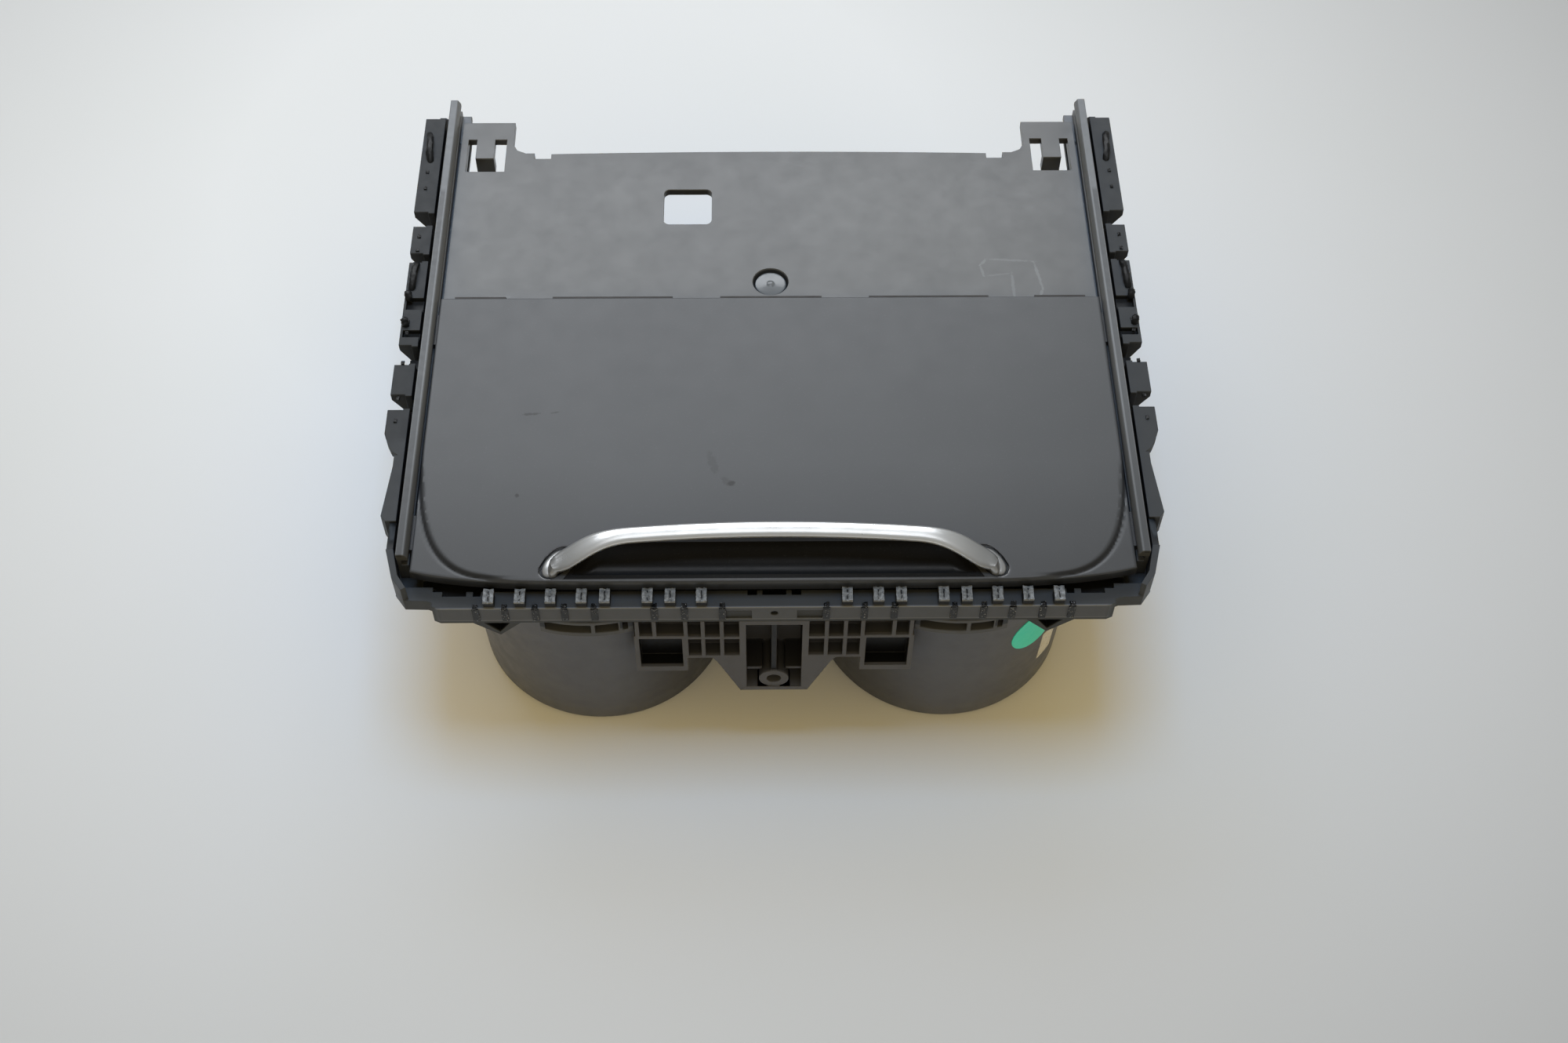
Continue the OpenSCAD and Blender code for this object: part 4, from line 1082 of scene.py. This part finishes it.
@dataclass
class CarrierFrame:
    """The dark carrier frame: side walls with weld tabs, and the crossbar with its broken weld posts.

    Lengths are in millimetres. The posts and the tears are given on the right and stand on both sides.
    """

    front: float = -100.4
    top: float = 77.2
    post_xs: tuple[float, ...] = (20.8, 29.7, 36.2, 48.3, 54.9, 63.7, 72.4, 81.3)
    tear_xs: tuple[float, ...] = (14.9, 25.8, 34.4, 51.5, 60.0, 68.3, 77.0, 85.3)
    post_top: float = 80.5
    wall_top: float = 83.0
    tab_x: float = 113.4
    half: float = 116.2
    face_back: float = 0.6
    clip_height: float = 1.6
    clip_half: tuple[float, float] = (1.1, 0.8)

    def clip(self, name: str, at: Point, length: float, lean: float) -> bpy.types.Object:
        """Builds the torn stub of a sprue clip: a bent lip that stands on a tab.

        Args:
            name: the piece's name.
            at: the middle of its foot.
            length: its length along Y.
            lean: how far its ends lean across.

        Returns:
            The piece.
        """
        x, y, z = at
        path = []
        for i in range(17):
            t = i / 16 * 2 - 1
            rise = self.clip_height * (1 - t * t) ** 0.5 - 0.3
            path.append(Vector((x + lean * t * abs(t), y + t * length / 2, z + rise)))

        def ring(share: float) -> list[tuple[float, float]]:
            """Rough oval section."""
            section = []
            for k in range(10):
                u, v = superoval(k, 10)
                wobble = 1 + 0.35 * noise.noise(Vector((share * 7 + x, u * 1.3, v * 1.3 + y)))
                section.append((self.clip_half[0] * u * wobble, self.clip_half[1] * v * wobble))
            return section

        return sweep(name, path, ring, Vector((1, 0, 0)))

    def build(self) -> None:
        """Builds the frame and its torn details."""
        body = bevelled("carrier_frame", "carrier_frame_body", 0.14)
        # the face and the posts' fronts stand back, so that the melted beads on them stay inside the
        # part, and no rounded edge passes its width
        for vertex in body.data.vertices:
            if vertex.co.y < (self.front + 0.7) * MM:
                vertex.co.y += self.face_back * MM
            vertex.co.x = min(self.half * MM, max(-self.half * MM, vertex.co.x))
        finish_piece(body, FRAME, "housing", "carrier_frame")
        crowns = both((x, self.front + 2.75, self.post_top - 0.13) for x in self.post_xs)
        Repeat(
            "weld_post_crowns", TORN, crowns, (3.0, 4.6, 0.8), 0.9, 0.7, groove=0.3, seed=3
        ).build("housing")
        tears = both((x, self.front + 0.98, self.top - 0.2) for x in self.tear_xs)
        Repeat("crossbar_tears", BEAD, tears, (1.5, 1.3, 1.8), 1.3, 1.4, seed=8, cells=8).build("housing")
        drips = both((x, self.front + 0.72, self.top - 3.1) for x in self.tear_xs)
        Repeat("crossbar_drips", BEAD, drips, (2.0, 1.0, 5.8), 1.2, 0.7, seed=5, cells=9).build("housing")
        # dots of weld along the tops of the tabs
        dots = both(
            (self.tab_x, y, self.wall_top + 0.1)
            for y in (60.5, 68.0, 79.0, 84.5, 33.0, 39.0, 2.5, -2.0, -14.0, -28.0, -36.5)
        )
        Repeat("tab_weld_dots", CLIP, dots, (1.0, 1.2, 0.5), 1.0, 1.1, seed=11, cells=7).build("housing")
        for side in Side:
            s = side.value
            low = side.name.lower()
            # place, length and lean of each torn clip
            spots = [
                ((s * 113.6, 79.5, 83.0), 13.0, s * 0.8), ((s * 113.4, 21.8, 83.0), 11.0, s * -0.3),
                ((s * 114.3, 13.2, 83.0), 2.6, s * 0.3), ((s * 114.3, 2.2, 83.0), 2.4, s * 0.3),
            ]
            for i, (at, length, lean) in enumerate(spots):
                finish_piece(self.clip(f"{low}_torn_clip_{i + 1}", at, length, lean), CLIP, "housing")


@dataclass
class Housing:
    """The moulded parts fixed to the frame: rails, floor panel, cups, deck and front bracket."""

    gate: Point = (0.0, 21.7, 78.0)
    nipple: float = 1.35

    def gate_mark(self) -> bpy.types.Object:
        """Builds the smooth disc that the moulding gate leaves in the floor panel."""
        # radius and height of each ring, from the nipple in its middle outwards
        rings = [(0.9, 1.3), (1.2, 1.05), (1.5, 0.98), (4.2, 1.05), (4.8, 0.9), (5.0, 0.6), (5.05, -0.05)]
        x, y, z = self.gate
        circle = [superoval(k, ROUND) for k in range(ROUND)]
        points = []
        for radius, rise in rings:
            points += [(x + radius * u, y + radius * v, z + rise) for u, v in circle]
        points.append((x, y, z + self.nipple))
        faces = strip_faces(len(rings), ROUND)
        faces += [(k, (k + 1) % ROUND, len(points) - 1) for k in range(ROUND)]
        faces.append(tuple(range(len(points) - 1 - ROUND, len(points) - 1)))
        return mesh_object("gate_mark", points, faces, 40.0)

    @staticmethod
    def dress(node: str, name: str, width: float, finish: Finish) -> None:
        """Puts a finished copy with rounded edges in the place of a CAD node."""
        finish_piece(bevelled(node, name, width), finish, "housing", node)

    def build(self) -> None:
        """Builds the dressed copies of the moulded parts."""
        for side in Side:
            low = side.name.lower()
            self.dress(f"{low}_guide_rail", f"{low}_rail_bar", 0.25, RAIL)
            self.dress(f"{low}_cup", f"{low}_cup_shell", 0.3, CUP)
        self.dress("floor_panel", "floor_panel_sheet", 0.0, PANEL)
        finish_piece(self.gate_mark(), GATE, "housing")
        self.dress("cup_deck", "cup_deck_plate", 0.25, DECK)
        self.dress("front_bracket", "front_bracket_crate", 0.2, BRACKET)


# the first key that a node's name holds gives its finish
PLAIN_FINISHES = {
    "cup_mat": MAT, "shoe": GLIDE, "glide_pads": FELT, "leaf_spring": SPRING, "screws": SCREW,
    "grip_pins": SPRING, "_grip": GRIP, "_spring": SPRING, "green_sticker": GREEN, "white_label": WHITE,
}


def dress_small_nodes() -> None:
    """Gives each CAD node that stays its own finish."""
    for name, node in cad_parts.items():
        if node.hide_render:
            continue
        finish = next(f for key, f in PLAIN_FINISHES.items() if key in name)
        node.data.materials.clear()
        node.data.materials.append(finish.build())
        log.info("%s keeps its shape, finish %s", name, finish.name)


# Table, light and camera


@dataclass(frozen=True)
class Lamp:
    """A soft rectangular lamp that one kind of ray doesn't see.

    Places and sizes are in metres, the power is in watts, and the colour is linear.
    """

    name: str
    at: Point
    size: tuple[float, float]
    power: float
    colour: Point
    unseen: str = "visible_glossy"
    aim: Point = (0.0, 0.0, 0.0)

    def build(self) -> None:
        """Adds the lamp to the scene."""
        data = bpy.data.lights.new(self.name, "AREA")
        data.shape = "RECTANGLE"
        data.size, data.size_y = self.size
        data.energy = self.power
        data.color = self.colour
        lamp = add_object(self.name, data)
        lamp.location = self.at
        lamp.rotation_euler = (Vector(self.aim) - Vector(self.at)).to_track_quat("-Z", "Y").to_euler()
        setattr(lamp, self.unseen, False)


LAMPS = (
    Lamp("ceiling_lamp", (0.0, 0.03, 1.5), (0.55, 0.55), 11.0, (0.33, 0.6, 1.0)),
    Lamp("ceiling_glint", (0.0, 0.03, 1.5), (0.55, 0.55), 6.8, (0.95, 0.97, 1.0), "visible_diffuse"),
    Lamp("window_light", (-0.3, 1.5, 1.5), (2.0, 1.2), 16.5, (0.41, 0.64, 1.0)),
    Lamp("room_fill", (0.1, -1.3, 0.75), (1.2, 0.8), 2.2, (0.9, 0.95, 1.0), aim=(0.0, 0.0, 0.03)),
    Lamp("sheen_board", (-0.2, 1.22, 1.2), (1.4, 0.6), 13.0, (0.93, 0.96, 1.0), "visible_diffuse"),
)


@dataclass
class Studio:
    """Pale table, soft light and the camera that the photograph was taken with.

    The camera's lens and place are in millimetres, and right, down and ahead are the picture's
    axes. The bright spot and its fade on the table are in metres.
    """

    table_half: float = 6000.0
    bright_spot: Point = (-0.07, 0.145, 0.0)
    fade: tuple[float, float] = (0.14, 0.5)
    fade_share: float = 0.74
    warm_room: Colour = (0.66, 0.5, 0.21, 1.0)
    mirrored_room: Colour = (0.25, 0.25, 0.24, 1.0)
    lens: float = 44.1
    place: Point = (-5.6, -393.6, 540.3)
    right: Point = (0.9998661665, -0.0133434031, 0.0094658681)
    down: Point = (-0.0055168347, -0.8197089641, -0.5727536807)
    ahead: Point = (0.0154017402, 0.5726248054, -0.8196728729)

    def table(self) -> None:
        """Builds the pale table top."""
        half = self.table_half
        square = [(-half, -half, 0), (half, -half, 0), (half, half, 0), (-half, half, 0)]
        floor = mesh_object("table_top", square, [(0, 1, 2, 3)])
        face_up(floor)
        material = bpy.data.materials.new("table_board")
        tree = blank_tree(material)
        place = add_node(tree, "ShaderNodeTexCoord").outputs["Object"]
        faint = add_node(tree, "ShaderNodeTexNoise", Vector=place, Scale=9.0, Detail=2.0).outputs["Fac"]
        colour = mix(tree, faint, linear("#f0f0f3"), linear("#ecedee"))
        # the light falls off towards the table's far corners
        far = vector_maths(tree, "LENGTH", vector_maths(tree, "SUBTRACT", place, self.bright_spot))
        fall = ramp(tree, far, *self.fade, 0.0, self.fade_share, smooth=False)
        colour = mix(tree, fall, colour, linear("#8f9196"))
        shader = add_node(tree, "ShaderNodeBsdfPrincipled", Base_Color=colour, Roughness=0.7)
        shader.inputs["Specular IOR Level"].default_value = 0.1
        add_node(tree, "ShaderNodeOutputMaterial", Surface=shader.outputs["BSDF"])
        floor.data.materials.append(material)

    def room(self) -> None:
        """Lights the scene from all round: warm, but darker and neutral in what glossy surfaces mirror."""
        world = bpy.data.worlds.new("room")
        bpy.context.scene.world = world
        tree = blank_tree(world)
        path = add_node(tree, "ShaderNodeLightPath").outputs["Is Glossy Ray"]
        shade = mix(tree, path, self.warm_room, self.mirrored_room)
        light = add_node(tree, "ShaderNodeBackground", Color=shade, Strength=1.0).outputs[0]
        add_node(tree, "ShaderNodeOutputWorld", Surface=light)

    def build(self) -> None:
        """Builds the table, the light and the camera."""
        self.table()
        for lamp in LAMPS:
            lamp.build()
        self.room()
        camera = add_object("camera", bpy.data.cameras.new("camera"))
        camera.data.lens = self.lens
        camera.data.sensor_width = 36.0
        camera.data.clip_start = 0.01
        x, y, z = Vector(self.right), -Vector(self.down), -Vector(self.ahead)
        at = Vector(self.place) * MM
        camera.matrix_world = Matrix(
            [(x[i], y[i], z[i], at[i]) for i in range(3)] + [(0.0, 0.0, 0.0, 1.0)]
        )
        bpy.context.scene.camera = camera
        bpy.context.scene.view_settings.view_transform = "Standard"


def main() -> None:
    """Builds the whole scene."""
    logging.basicConfig(level=logging.INFO, format="%(message)s")
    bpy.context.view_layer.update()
    CarrierFrame().build()
    Housing().build()
    Cover().build()
    dress_small_nodes()
    Studio().build()


if __name__ == "__main__":
    main()
